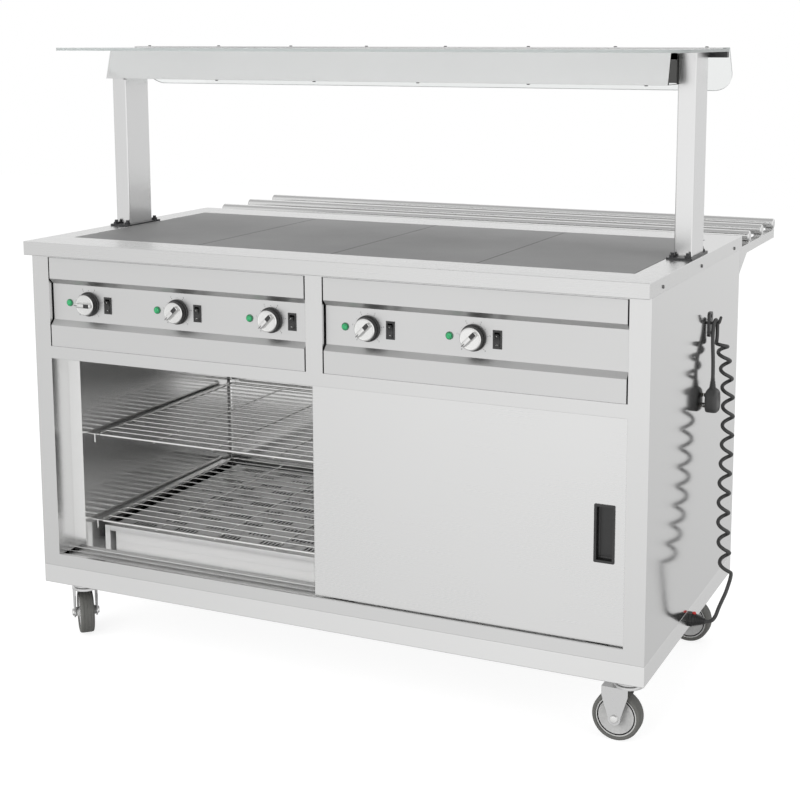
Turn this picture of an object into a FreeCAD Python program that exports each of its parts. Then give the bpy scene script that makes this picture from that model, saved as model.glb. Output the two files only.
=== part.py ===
import FreeCAD, Part
import math
import os

os.makedirs("parts", exist_ok=True)

V = FreeCAD.Vector

# Heated serving trolley, millimetres, +Z up. It is laid out about the middle of the cabinet
# (X = 0), from the front face of the cabinet (Y = 0, the operator's side) back towards the
# customer's side (+Y) and up from the floor (Z = 0). place() moves it to the part's own origin.

# ---------------------------------------------------------------- driving dimensions: cabinet
body_width = 1416.0          # over the side panels
body_depth = 700.0           # front face to back panel
plinth_bottom = 148.0        # underside of the plinth above the floor
plinth_height = 42.0
panel_height = 715.0         # side panels, from plinth to worktop
sheet = 2.0                  # cabinet sheet metal
thin_sheet = 1.5             # liners, control panels and doors
edge_round = 1.2             # folded sheet corners

# worktop and heated tiles
worktop_thickness = 30.0
worktop_overhang_front = 25.0
worktop_overhang_back = 10.0
worktop_overhang_side = 2.0
worktop_lip = 28.0
tile_count = 4
tile_pitch = 325.0
tile_depth = 530.0
tile_thickness = 8.0
tile_joint = 2.0
tile_front = 77.0            # front edge of the tiles behind the cabinet face
tile_pocket_gap = 1.0

# front frame
stile_width = 43.0
centre_stile_width = 39.0
header_height = 28.0         # rail between the control panels and the cupboard
top_strip = 6.0              # frame left above the control panels
sill_height = 28.0
jamb_depth = 57.0            # frame face to the liner, the room for both door tracks
window_return = 30.0         # folded edge round each control window

# control panels
control_height = 199.0
control_gap_end = 3.0
control_gap_edge = 0.3
trough_depth = 12.0
trough_bevel = 12.0
trough_margin = 47.0         # flat band above and below the trough
control_flange = 18.0

# controls, measured along each panel
control_pitch = 230.0
lamp_offset = 44.0
knob_offset = 95.0
switch_offset = 145.5
controls_left = 3
controls_right = 2
control_drop = 0.5           # control centres below the middle of the panel

lamp_radius = 7.0
lamp_stand = 5.0
lamp_rim_radius = 8.2
lamp_tail = 24.0
knob_skirt_radius = 27.0
knob_skirt_height = 4.0
knob_radius = 25.0
knob_top_radius = 23.0
knob_height = 13.0
knob_face_radius = 21.5
knob_face_height = 1.0
knob_grip_width = 12.0
knob_grip_height = 9.0
knob_panel_gap = 0.8
# direction of each grip at rest, in degrees above +X seen from the front
knob_turns = (0.0, 45.0, 45.0, 45.0, 45.0)
shaft_radius = 3.0
shaft_play = 0.05
shaft_hole_radius = 5.0
thermostat_width = 44.0
thermostat_height = 34.0
thermostat_depth = 26.0
thermostat_bush_radius = 4.6
thermostat_hub_length = 8.0

switch_width = 19.0
switch_height = 37.0
switch_flange = 2.0
switch_body_depth = 24.0
switch_border = 3.0
rocker_gap = 0.35
rocker_rise = 3.5
rocker_angle = 9.0
rocker_axis_depth = 4.0
rocker_pin_radius = 1.5
rocker_pin_play = 0.05

# doors and tracks
door_width = 676.0
door_thickness = 18.0
door_front_gap = 10.0        # front door's face behind the frame face
door_spacing = 8.0           # between the front and the rear door
door_bottom_gap = 2.0        # above the sill
door_top_tuck = 14.0         # door top hidden above the header's lower edge
door_jamb_gap = 0.5
door_corner = 2.0
pull_width = 36.0
pull_height = 110.0
pull_from_edge = 25.5
pull_below_middle = 13.0
pull_depth = 14.0
pull_flange = 1.5
pull_wall = 2.0
pull_border = 3.0
pull_pocket_gap = 0.4
glide_length = 40.0
glide_width = 9.0
glide_inset = 60.0
glide_play = 0.3
track_floor_drop = 9.0       # track groove under the sill's top
track_ridge = 2.0
track_wall = 2.0
track_lip = 14.0

# inner cupboard
liner_side_gap = 75.0        # cabinet side to the inside of the liner
liner_back_gap = 20.0
liner_floor = 225.0
liner_ceiling = 690.0
liner_corner = 8.0

# wire shelves
shelf_front = 92.0
shelf_back_gap = 18.0
shelf_side_gap = 12.0
shelf_frame_wire = 6.0
shelf_wire = 3.6
shelf_cross_wire = 4.6
shelf_wires = 17
shelf_crosses = 7
shelf_corner = 14.0
upper_shelf_height = 481.0
lower_shelf_height = 277.0
runner_leg = 20.0
runner_sheet = 1.5

# perforated cover over the cupboard elements
cover_side_gap = 33.0
cover_front = 104.0
cover_back_gap = 20.0
cover_height = 38.0
cover_flange = 12.0
cover_apron_setback = 9.0
cover_post = 14.0
cover_post_gap = 0.5
slot_width = 5.0
slot_length = 24.0
slot_pitch = 10.0
slots_in_group = 6
slot_group_pitch = 112.0
slot_row_pitch = 48.0
slot_rows = 11
slot_groups = 10

# heating elements
element_radius = 4.2
element_bend = 36.0
element_floor_gap = 12.0
element_count = 4
element_length = 250.0
element_clip = 3.0

# gantry
post_width = 38.0
post_depth = 90.0
post_wall = 2.0
post_side_gap = 7.0          # cabinet side to the post
post_front = 305.0
gantry_height = 1348.0       # underside of the glass shelf
base_plate_width = 54.0
base_plate_depth = 132.0
base_plate_thickness = 4.0
base_plate_side_gap = 2.0
bolt_head_radius = 7.0
bolt_head_height = 4.5
bolt_radius = 4.0
bolt_length = 22.0
bolt_edge = 11.0
bolt_tip = 5.0

housing_drop = 64.0
housing_front_bottom = 231.0
housing_front_top = 250.0
housing_lip = 16.0
housing_end_margin = 4.0     # end wall left in front of each post
reflector_sheet = 1.2
reflector_inset = 14.0
lamp_bays = 5
lamp_bay_pitch = 247.0
lamp_tube_radius = 5.0
lamp_tube_length = 208.0
lamp_holder = 16.0
lamp_hang = 16.0

glass_overhang = 21.5        # beyond the cabinet sides
glass_thickness = 6.0
glass_front = 111.0
glass_depth = 340.0
glass_corner = 42.0
visor_thickness = 5.0
visor_length = 100.0
visor_tilt = 28.0
visor_corner = 42.0
visor_rail_thickness = 2.5
visor_rail_width = 24.0
visor_rail_drop = 12.0
visor_rail_end_gap = 8.0
clamp_width = 44.0
clamp_height = 12.0
clamp_depth = 16.0

# small screws
screw_head_radius = 3.6
screw_head_height = 2.2
screw_radius = 2.0
screw_length = 6.0
side_screw_y = (64.0, 350.0, 636.0)
side_screw_drop = 19.0
rail_screws = 8
rail_screw_pitch = 196.0

# tray slide on the customer's side
rail_radius = 12.5
rail_wall = 1.5
rail_first = 794.0
rail_pitch = 131.5
rail_count = 3
rail_overhang = 2.0
rail_cap = 6.0
bracket_plate = 3.0
bracket_top = 909.0
bracket_bottom = 889.0
bracket_tail = 9.0
bracket_foot = 850.0
bracket_foot_width = 34.0
bracket_flange = 18.0
saddle_width = 16.0
saddle_height = 4.0
saddle_sink = 1.0
worktop_clear = 0.6

# castors
wheel_radius = 50.0
wheel_width = 32.0
wheel_round = 5.0
hub_radius = 42.0
hub_width = 26.0
hub_boss_radius = 10.0
hub_boss_width = 46.0
hub_groove = 2.5
hub_groove_depth = 4.0
axle_radius = 5.0
axle_play = 0.06
axle_head_radius = 8.0
axle_head_height = 4.0
fork_inside = 47.0
fork_sheet = 3.0
fork_top_width = 54.0
fork_end_radius = 13.0
fork_wheel_gap = 12.0
fork_cup_radius = 31.0
fork_cup_height = 7.0
castor_trail = 21.0
castor_race_radius = 28.0
castor_plate_width = 88.0
castor_plate_depth = 70.0
castor_plate_thickness = 3.5
castor_gap = 0.3
kingpin_radius = 5.0
kingpin_play = 0.06
castor_inset_x = 53.0
castor_inset_y = 77.0
# direction in which each castor trails at rest, in degrees from +X
castor_turn = {"front_left": 133.0, "front_right": 180.0, "back_left": 38.0, "back_right": 178.0}

# cord, plug, hook and gland on the right-hand side panel
cord_diameter = 8.0
gland_y = 335.0
gland_height = 166.0
gland_nut_radius = 16.0
gland_nut_length = 7.0
gland_body_radius = 14.0
gland_body_length = 18.0
gland_tail_radius = 9.0
gland_tail_length = 9.0
coil_radius = 11.0
coil_turns = 12.5
coil_closing_turns = 0.7
coil_top_height = 738.5
coil_bottom_height = 263.0
coil_middle_line = ((732.0, 450.0), (770.0, 455.0), (735.0, 425.0), (772.0, 379.0))
coil_entry_drop = 10.0
hook_y = 441.0
hook_height = 782.0
hook_rod_radius = 3.0
hook_reach = 23.0
hook_arm = 19.5
hook_bend_trim = 4.0
hook_tip = 795.0
hook_plate_width = 26.0
hook_plate_height = 53.0
hook_plate_thickness = 3.0
hook_screw_radius = 3.5
hook_screw_height = 1.4
hook_screw_half_gap = 18.0
saddle_half_gap_y = 9.0
saddle_x = 718.3
plug_y = 403.0
plug_lead_x = 726.6
plug_width = 50.0
plug_height = 50.0
plug_thickness = 22.0
plug_wall_gap = 0.6
plug_top = 651.0
plug_neck_radius = 5.5
plug_neck_length = 16.0
pin_length = 10.0

# ---------------------------------------------------------------- dependent sizes and places
half_width = body_width / 2.0
plinth_top = plinth_bottom + plinth_height
body_top = plinth_top + panel_height
counter_top = body_top + worktop_thickness
worktop_half = half_width + worktop_overhang_side
worktop_back = body_depth + worktop_overhang_back
opening_half = half_width - stile_width
control_top = body_top - top_strip
control_bottom = control_top - control_height
opening_top = control_bottom - header_height
opening_bottom = plinth_top + sill_height
control_middle = (control_top + control_bottom) / 2.0 - control_drop
centre_half = centre_stile_width / 2.0
panel_left_x = (-opening_half + control_gap_end, -centre_half - control_gap_end)
panel_right_x = (centre_half + control_gap_end, opening_half - control_gap_end)
tiles_half = tile_count * tile_pitch / 2.0
tile_bottom = counter_top - tile_thickness
liner_half = half_width - liner_side_gap
liner_back = body_depth - liner_back_gap
liner_front = jamb_depth
post_outer = half_width - post_side_gap
post_inner = post_outer - post_width
post_back = post_front + post_depth
glass_half = half_width + glass_overhang
glass_top = gantry_height + glass_thickness
glass_back = glass_front + glass_depth
castor_x = half_width - castor_inset_x
castor_back_y = body_depth - castor_inset_y
door_bottom = opening_bottom + door_bottom_gap
door_top = opening_top + door_top_tuck
front_door_y = door_front_gap
rear_door_y = door_front_gap + door_thickness + door_spacing
door_right = opening_half - door_jamb_gap
door_left = door_right - door_width
track_floor = opening_bottom - track_floor_drop
rail_z = bracket_top + saddle_height - saddle_sink + rail_radius
rail_last = rail_first + (rail_count - 1) * rail_pitch
bracket_end = rail_last + bracket_tail
hook_tip_x = half_width + hook_reach + hook_rod_radius
cord_radius = cord_diameter / 2.0

# the part's origin: the middle of its box in X and Y, without the cord's own pieces
box_left = -glass_half
box_right = max(glass_half, hook_tip_x)
box_front = -worktop_overhang_front
box_back = rail_last + rail_radius
origin_x = (box_left + box_right) / 2.0
origin_y = (box_front + box_back) / 2.0


# ---------------------------------------------------------------- helpers
def block(x0, x1, y0, y1, z0, z1):
    return Part.makeBox(x1 - x0, y1 - y0, z1 - z0, V(x0, y0, z0))


def rod(base, direction, radius, length):
    return Part.makeCylinder(radius, length, V(*base), V(*direction))


def fuse(shapes):
    whole = shapes[0]
    if len(shapes) > 1:
        whole = whole.fuse(shapes[1:])
    return whole.removeSplitter()


def cut(shape, tools):
    return shape.cut(Part.makeCompound(tools))


def polygon(points):
    corners = [V(*p) for p in points]
    return Part.Face(Part.makePolygon(corners + [corners[0]]))


def round_edges(shape, radius, wanted):
    edges = [e for e in shape.Edges if wanted(e)]
    return shape.makeFillet(radius, edges)


def vertical(edge):
    a, b = edge.Vertexes[0].Point, edge.Vertexes[-1].Point
    return abs(a.x - b.x) < 1e-6 and abs(a.y - b.y) < 1e-6 and abs(a.z - b.z) > 1e-6


def mirror_x(shape):
    return shape.mirror(V(0, 0, 0), V(1, 0, 0))


def place(shape):
    moved = shape.copy()
    moved.translate(V(-origin_x, -origin_y, 0.0))
    return moved


def write(name, shapes):
    solids = []
    for shape in shapes:
        solids.extend(shape.Solids)
    for solid in solids:
        if not solid.isValid():
            print("not valid:", name)
    whole = solids[0] if len(solids) == 1 else Part.makeCompound(solids)
    place(whole).exportStep("parts/" + name + ".step")


# ---------------------------------------------------------------- cabinet
def base_frame():
    outer = block(-half_width, half_width, 0, body_depth, plinth_bottom, plinth_top)
    outer = round_edges(outer, edge_round, lambda e: True)
    inner = block(-half_width + sheet, half_width - sheet, sheet, body_depth - sheet,
                  plinth_bottom + sheet, plinth_top + sheet)
    return outer.cut(inner)


def side_panel():
    panel = block(half_width - sheet, half_width, sheet, body_depth - sheet, plinth_top, body_top)
    return panel


def back_panel():
    skin = block(-half_width, half_width, body_depth - sheet, body_depth, plinth_top, body_top)
    skin = round_edges(skin, edge_round, lambda e: vertical(e) and e.Vertexes[0].Y > body_depth - 1)
    return skin


def window_ring(x0, x1, z0, z1, depth, wall):
    outer = block(x0 - wall, x1 + wall, 0, depth, z0 - wall, z1 + wall)
    inner = block(x0, x1, -1, depth + 1, z0, z1)
    return outer.cut(inner)


def front_frame():
    plate = block(-half_width, half_width, 0, sheet, plinth_top, body_top)
    plate = round_edges(plate, edge_round, lambda e: vertical(e) and e.Vertexes[0].Y < 1)
    windows = [(-opening_half, -centre_half), (centre_half, opening_half)]
    holes = [block(x0, x1, -1, sheet + 1, control_bottom, control_top) for x0, x1 in windows]
    holes.append(block(-opening_half, opening_half, -1, sheet + 1, opening_bottom, opening_top))
    frame = cut(plate, holes)
    rings = [window_ring(x0, x1, control_bottom, control_top, window_return, thin_sheet)
             for x0, x1 in windows]
    jambs = [block(s * opening_half, s * (opening_half + sheet), 0, jamb_depth,
                   opening_bottom - sheet, control_bottom - thin_sheet)
             if s > 0 else
             block(-opening_half - sheet, -opening_half, 0, jamb_depth,
                   opening_bottom - sheet, control_bottom - thin_sheet) for s in (-1, 1)]
    sill = block(-opening_half, opening_half, 0, door_front_gap - track_ridge - 1.0,
                 opening_bottom - sheet, opening_bottom)
    lip = block(-opening_half, opening_half, 0, door_front_gap - track_ridge - 1.0,
                opening_top, opening_top + sheet)
    return fuse([frame] + rings + jambs + [sill, lip])


def control_profile(x0, x1):
    """Folded sheet: a flat band, a bevel in, the trough's floor, a bevel out, a flat band and
    a return flange along the top and the bottom edge."""
    top = control_top - control_gap_edge
    bottom = control_bottom + control_gap_edge
    t = thin_sheet
    high = top - trough_margin
    low = bottom + trough_margin
    front = [(control_flange, top), (0, top), (0, high), (trough_depth, high - trough_bevel),
             (trough_depth, low + trough_bevel), (0, low), (0, bottom), (control_flange, bottom)]
    slope = t * math.tan(math.radians(22.5))
    back = [(control_flange, bottom + t), (t, bottom + t), (t, low - slope),
            (trough_depth + t, low + trough_bevel - slope),
            (trough_depth + t, high - trough_bevel + slope), (t, high + slope),
            (t, top - t), (control_flange, top - t)]
    face = polygon([(x0, y, z) for y, z in front + back])
    return face.extrude(V(x1 - x0, 0, 0))


def control_places():
    places = []
    for start, count in ((panel_left_x[0], controls_left), (panel_right_x[0], controls_right)):
        for k in range(count):
            places.append(start + k * control_pitch)
    return places


def control_panels():
    floor = trough_depth
    holes = []
    for x in control_places():
        holes.append(rod((x + lamp_offset, floor - 1, control_middle), (0, 1, 0), lamp_radius, 6))
        holes.append(rod((x + knob_offset, floor - 1, control_middle), (0, 1, 0),
                         shaft_hole_radius, 6))
        holes.append(switch_box(x, floor - 1, floor + 5, switch_border))
    panels = []
    for x0, x1 in (panel_left_x, panel_right_x):
        inside = [h for h in holes if x0 < h.BoundBox.Center.x < x1]
        panels.append(cut(control_profile(x0, x1), inside))
    return panels


def switch_box(x, y0, y1, border):
    middle = x + switch_offset
    return block(middle - switch_width / 2 + border, middle + switch_width / 2 - border, y0, y1,
                 control_middle - switch_height / 2 + border,
                 control_middle + switch_height / 2 - border)


# ---------------------------------------------------------------- worktop and tiles
def worktop():
    outer = block(-worktop_half, worktop_half, -worktop_overhang_front, worktop_back,
                  body_top, counter_top)
    outer = round_edges(outer, edge_round, lambda e: True)
    inside = block(-worktop_half + sheet, worktop_half - sheet,
                   -worktop_overhang_front + sheet, worktop_back - sheet,
                   body_top + sheet, counter_top - sheet)
    mouth = block(-worktop_half + worktop_lip, worktop_half - worktop_lip, worktop_lip,
                  worktop_back - worktop_lip - worktop_overhang_back, body_top - 1,
                  body_top + sheet + 1)
    shell = cut(outer, [inside, mouth])
    g = tile_pocket_gap
    pocket = block(-tiles_half - g, tiles_half + g, tile_front - g, tile_front + tile_depth + g,
                   tile_bottom, counter_top + 1)
    pan = block(-tiles_half - g - sheet, tiles_half + g + sheet, tile_front - g - sheet,
                tile_front + tile_depth + g + sheet, tile_bottom - sheet, counter_top - sheet / 2)
    return shell.fuse(pan).cut(pocket).removeSplitter()


def heated_tiles():
    tiles = []
    for k in range(tile_count):
        x = -tiles_half + k * tile_pitch
        tile = block(x + tile_joint / 2, x + tile_pitch - tile_joint / 2, tile_front,
                     tile_front + tile_depth, tile_bottom, counter_top)
        tiles.append(round_edges(tile, 0.6, lambda e: e.Vertexes[0].Z > counter_top - 0.1
                                 and e.Vertexes[-1].Z > counter_top - 0.1))
    return tiles


def hairpin(x, y0, y1, z, radius, bend):
    """A sheathed element bent once: out along Y, a half turn and back."""
    a, b = V(x - bend, y0, z), V(x - bend, y1, z)
    c, d = V(x + bend, y1, z), V(x + bend, y0, z)
    path = Part.Wire([Part.LineSegment(a, b).toShape(),
                      Part.Arc(b, V(x, y1 + bend, z), c).toShape(),
                      Part.LineSegment(c, d).toShape()])
    profile = Part.Wire(Part.makeCircle(radius, a, V(0, 1, 0)))
    return path.makePipeShell([profile], True, False)


def heating_elements():
    shapes = []
    z = tile_bottom - sheet - element_radius
    for k in range(tile_count):
        x = -tiles_half + (k + 0.5) * tile_pitch
        shapes.append(hairpin(x, tile_front + 60, tile_front + tile_depth - 110, z,
                              element_radius, 2 * element_bend))
    floor = liner_floor + element_floor_gap
    reach = liner_half - cover_side_gap
    pitch = 2 * reach / element_count
    for k in range(element_count):
        x = -reach + (k + 0.5) * pitch
        middle = (cover_front + liner_back - cover_back_gap) / 2.0
        y0, y1 = middle - element_length / 2, middle + element_length / 2
        tube = hairpin(x, y0, y1, floor, element_radius, element_bend)
        feet = [block(x - element_bend - 8, x + element_bend + 8, y - 3, y + 3, liner_floor,
                      floor + element_clip) for y in (y0 + 20, y1 - 20)]
        shapes.append(fuse([tube] + feet))
    return shapes


# ---------------------------------------------------------------- inner cupboard
def inner_liner():
    t = thin_sheet
    outer = block(-liner_half - t, liner_half + t, liner_front, liner_back + t,
                  liner_floor - t, liner_ceiling + t)
    inner = block(-liner_half, liner_half, liner_front - 1, liner_back, liner_floor,
                  liner_ceiling)
    inner = round_edges(inner, liner_corner, lambda e: e.Vertexes[0].Y > liner_back - 1
                        and e.Vertexes[-1].Y > liner_back - 1)
    flange = block(-opening_half, opening_half, liner_front, liner_front + t,
                   track_floor, liner_ceiling + t)
    mouth = block(-liner_half, liner_half, liner_front - 1, liner_front + t + 1, liner_floor,
                  liner_ceiling)
    return fuse([outer.cut(inner), flange.cut(mouth)])


def shelf_supports():
    runners = []
    for level in (upper_shelf_height, lower_shelf_height):
        top = level - shelf_frame_wire / 2
        y0, y1 = shelf_front + 10, liner_back - 30
        for s in (-1, 1):
            wall = s * liner_half
            inner = s * (liner_half - runner_leg)
            skin = s * (liner_half - runner_sheet)
            flat = block(min(wall, inner), max(wall, inner), y0, y1, top - runner_sheet, top)
            leg = block(min(wall, skin), max(wall, skin), y0, y1, top - runner_leg, top)
            runners.append(fuse([flat, leg]))
    return runners


def bar(a, b, radius):
    a, b = V(*a), V(*b)
    return Part.makeCylinder(radius, (b - a).Length, a, b - a)


def wire_shelf(level):
    """A frame of thick wire bent round four corners, thin wires along X laid over it and
    cross wires along Y under them, all welded into one solid."""
    x1 = liner_half - shelf_side_gap - shelf_frame_wire / 2
    y0 = shelf_front
    y1 = liner_back - shelf_back_gap
    c = shelf_corner
    r = shelf_frame_wire / 2
    k = c * (1 - math.sqrt(0.5))
    edges = []
    lines = [((-x1 + c, y0), (x1 - c, y0)), ((x1, y0 + c), (x1, y1 - c)),
             ((x1 - c, y1), (-x1 + c, y1)), ((-x1, y1 - c), (-x1, y0 + c))]
    mids = [(x1 - k, y0 + k), (x1 - k, y1 - k), (-x1 + k, y1 - k), (-x1 + k, y0 + k)]
    for i, (a, b) in enumerate(lines):
        nxt = lines[(i + 1) % 4][0]
        edges.append(Part.LineSegment(V(*a, level), V(*b, level)).toShape())
        edges.append(Part.Arc(V(*b, level), V(*mids[i], level), V(*nxt, level)).toShape())
    path = Part.Wire(edges)
    profile = Part.Wire(Part.makeCircle(r, V(-x1 + c, y0, level), V(1, 0, 0)))
    frame = path.makePipeShell([profile], True, False)
    wires = []
    rise = level + shelf_wire / 4
    for i in range(1, shelf_wires):
        y = y0 + i * (y1 - y0) / shelf_wires
        wires.append(bar((-x1, y, rise), (x1, y, rise), shelf_wire / 2))
    sink = rise - shelf_wire / 2 - shelf_cross_wire / 2 + 0.6
    for i in range(1, shelf_crosses + 1):
        x = -x1 + i * 2 * x1 / (shelf_crosses + 1)
        wires.append(bar((x, y0, sink), (x, y1, sink), shelf_cross_wire / 2))
    return fuse([frame] + wires)


def element_cover():
    """A folded cover over the elements: a slotted top with a short flange all round, an apron
    set back under it, and a dark post under each front corner of the shelf beside it."""
    x1 = liner_half - cover_side_gap
    y0, y1 = cover_front, liner_back - cover_back_gap
    z1 = liner_floor + cover_height
    t = thin_sheet
    shell = block(-x1, x1, y0, y1, liner_floor, z1)
    shell = round_edges(shell, edge_round, lambda e: e.Vertexes[0].Z > z1 - 0.1
                        and e.Vertexes[-1].Z > z1 - 0.1)
    b = cover_apron_setback
    low = z1 - cover_flange
    shell = shell.cut(block(-x1 + t, x1 - t, y0 + t, y1 - t, low - 1, z1 - t))
    apron = block(-x1 - 1, x1 + 1, y0 - 1, y1 + 1, liner_floor - 1, low)
    shell = shell.cut(apron.cut(block(-x1 + b, x1 - b, y0 + b, y1 - b, liner_floor, low)))
    shell = shell.cut(block(-x1 + b + t, x1 - b - t, y0 + b + t, y1 - b - t,
                            liner_floor - 1, z1 - t))
    ring = block(-x1 + b, x1 - b, y0 + b, y1 - b, liner_floor, z1 - t)
    ring = ring.cut(block(-x1 + b + t, x1 - b - t, y0 + b + t, y1 - b - t,
                          liner_floor - 1, z1))
    shell = shell.fuse(ring)
    slots = []
    span = (slots_in_group - 1) * slot_pitch
    for row in range(slot_rows):
        y = y0 + 28 + row * slot_row_pitch
        shift = (row % 2) * slot_group_pitch / 2
        for group in range(slot_groups):
            first = -slot_groups * slot_group_pitch / 2 + group * slot_group_pitch + shift
            for k in range(slots_in_group):
                x = first + k * slot_pitch + (slot_group_pitch / 2 - span) / 2
                if abs(x) < x1 - 12 and y + slot_length < y1 - 8:
                    slots.append(block(x, x + slot_width, y, y + slot_length, z1 - t - 1, z1 + 1))
    posts = []
    for s in (-1, 1):
        inner = x1 + cover_post_gap
        a, c = sorted((s * inner, s * (inner + cover_post)))
        posts.append(block(a, c, y0, y0 + 2 * cover_post, liner_floor, z1))
    return [cut(shell, slots)] + posts


# ---------------------------------------------------------------- doors
def door_tracks():
    """Two grooves under the doors and two over them, folded from sheet."""
    w = opening_half
    back = jamb_depth
    front = door_front_gap - track_ridge - 1.0
    middle = door_front_gap + door_thickness + door_spacing / 2
    floor = [block(-w, w, front, back, track_floor - track_wall, track_floor)]
    for y in (front, middle - track_ridge / 2, back - track_ridge):
        floor.append(block(-w, w, y, y + track_ridge, track_floor, opening_bottom))
    head_z = door_top + door_bottom_gap
    head = [block(-w, w, front, back, head_z, head_z + track_wall)]
    for y in (front, middle - track_ridge / 2, back - track_ridge):
        head.append(block(-w, w, y, y + track_ridge, head_z - track_lip, head_z))
    return [fuse(floor), fuse(head)]


def pull_place(from_left):
    inset = pull_from_edge + pull_width / 2
    return door_left + inset if from_left else door_right - inset


def sliding_door(y, from_left):
    """A double-skinned door: a folded pan closed by its inner skin, cut for the pull cup, with
    two glides under it that run in the track."""
    z0, z1 = door_bottom, door_top
    outer = block(door_left, door_right, y, y + door_thickness, z0, z1)
    outer = round_edges(outer, door_corner, lambda e: vertical(e))
    t = thin_sheet
    x = pull_place(from_left)
    z = (z0 + z1) / 2 - pull_below_middle
    w, h = pull_width / 2, pull_height / 2
    cavity = block(door_left + t, door_right - t, y + t, y + door_thickness - t, z0 + t, z1 - t)
    well = block(x - w - t, x + w + t, y, y + door_thickness, z - h - t, z + h + t)
    pocket = block(x - w, x + w, y - 1, y + pull_depth + pull_pocket_gap, z - h, z + h)
    vent = rod((door_right - 30, y + door_thickness / 2, z1 - t - 1), (0, 0, 1), 3, t + 2)
    door = outer.cut(cavity.cut(well)).cut(pocket).cut(vent)
    middle = y + door_thickness / 2
    glides = []
    for gx in (door_left + glide_inset, door_right - glide_inset):
        glides.append(block(gx - glide_length / 2, gx + glide_length / 2,
                            middle - glide_width / 2, middle + glide_width / 2,
                            track_floor + glide_play, z0))
    return [door] + glides


def door_pull(y, from_left):
    """A flush cup set in the door: a thin border on the face and a recess for the fingers."""
    x = pull_place(from_left)
    z = (door_bottom + door_top) / 2 - pull_below_middle
    w, h, b = pull_width / 2, pull_height / 2, pull_border
    gap = pull_pocket_gap / 2
    border = block(x - w - b, x + w + b, y - pull_flange, y, z - h - b, z + h + b)
    border = round_edges(border, 2.5, lambda e: abs(e.Vertexes[0].Y - e.Vertexes[-1].Y) > 0.5)
    cup = block(x - w + gap, x + w - gap, y - pull_flange / 2, y + pull_depth, z - h + gap,
                z + h - gap)
    recess = block(x - w + pull_wall, x + w - pull_wall, y - pull_flange - 1,
                   y + pull_depth - pull_wall, z - h + pull_wall, z + h - pull_wall)
    recess = round_edges(recess, 4, lambda e: e.Vertexes[0].Y > y and e.Vertexes[-1].Y > y)
    return fuse([border, cup]).cut(recess)


# ---------------------------------------------------------------- controls
def indicator_lamps():
    shapes = []
    for x in control_places():
        c = x + lamp_offset
        front = trough_depth - lamp_stand
        body = rod((c, trough_depth - 0.8, control_middle), (0, 1, 0), lamp_radius - 0.1,
                   lamp_tail)
        rim = rod((c, trough_depth - 2.0, control_middle), (0, 1, 0), lamp_rim_radius, 2.0)
        lens = rod((c, front, control_middle), (0, 1, 0), lamp_radius - 0.6, lamp_stand)
        lens = round_edges(lens, 2.6, lambda e: abs(e.CenterOfMass.y - front) < 0.1)
        shapes.append(fuse([body, rim, lens]))
    return shapes


def thermostats():
    shapes = []
    y0 = trough_depth + thin_sheet
    for x in control_places():
        c = x + knob_offset
        w, h = thermostat_width / 2, thermostat_height / 2
        case = block(c - w, c + w, y0, y0 + thermostat_depth, control_middle - h,
                     control_middle + h)
        bush = rod((c, y0 - thin_sheet, control_middle), (0, 1, 0), thermostat_bush_radius,
                   thin_sheet)
        bore = rod((c, y0 - 5, control_middle), (0, 1, 0), shaft_radius + shaft_play,
                   thermostat_hub_length + 5 + glide_play)
        shapes.append(fuse([case, bush]).cut(bore))
    return shapes


def knob(x, turn):
    """A round knob on its shaft: skirt, tapered body, face disc and a raised grip across it."""
    c = (x + knob_offset, control_middle)
    back = trough_depth - knob_panel_gap

    def disc(y0, y1, r0, r1):
        return Part.makeCone(r0, r1, y0 - y1, V(c[0], y0, c[1]), V(0, -1, 0))

    skirt_front = back - knob_skirt_height
    top = skirt_front - knob_height
    skirt = disc(back, skirt_front, knob_skirt_radius, knob_skirt_radius - 1.0)
    body = disc(skirt_front, top, knob_radius, knob_top_radius)
    face = rod((c[0], top - knob_face_height, c[1]), (0, 1, 0), knob_face_radius,
               knob_face_height)
    shaft = rod((c[0], back, c[1]), (0, 1, 0), shaft_radius,
                thin_sheet + knob_panel_gap + thermostat_hub_length)
    reach = knob_face_radius - 0.5
    w = knob_grip_width / 2
    grip = block(c[0] - reach, c[0] + reach, top - knob_face_height - knob_grip_height,
                 top, c[1] - w, c[1] + w)
    grip = round_edges(grip, w * 0.55, lambda e: abs(e.Vertexes[0].Y - e.Vertexes[-1].Y) > 1)
    grip = grip.common(rod((c[0], top - 30, c[1]), (0, 1, 0), knob_face_radius - 0.3, 31))
    grip.rotate(V(c[0], 0, c[1]), V(0, 1, 0), -turn)
    return fuse([skirt, body, face, shaft, grip])


def switch_housings():
    shapes = []
    for x in control_places():
        c = x + switch_offset
        y = trough_depth
        w, h = switch_width / 2, switch_height / 2
        flange = block(c - w, c + w, y - switch_flange, y, control_middle - h,
                       control_middle + h)
        flange = round_edges(flange, 1.0, lambda e: e.Vertexes[0].Y < y - 0.1
                             and e.Vertexes[-1].Y < y - 0.1)
        body = switch_box(x, y - 0.5, y + switch_body_depth, switch_border + 0.1)
        well = switch_box(x, y - switch_flange - 1, y + rocker_axis_depth + 6, switch_border + 1)
        pin = rod((c - w + switch_border + 0.1, y + rocker_axis_depth, control_middle),
                  (1, 0, 0), rocker_pin_radius, switch_width - 2 * switch_border - 0.2)
        shapes.append(fuse([fuse([flange, body]).cut(well), pin]))
    return shapes


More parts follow.
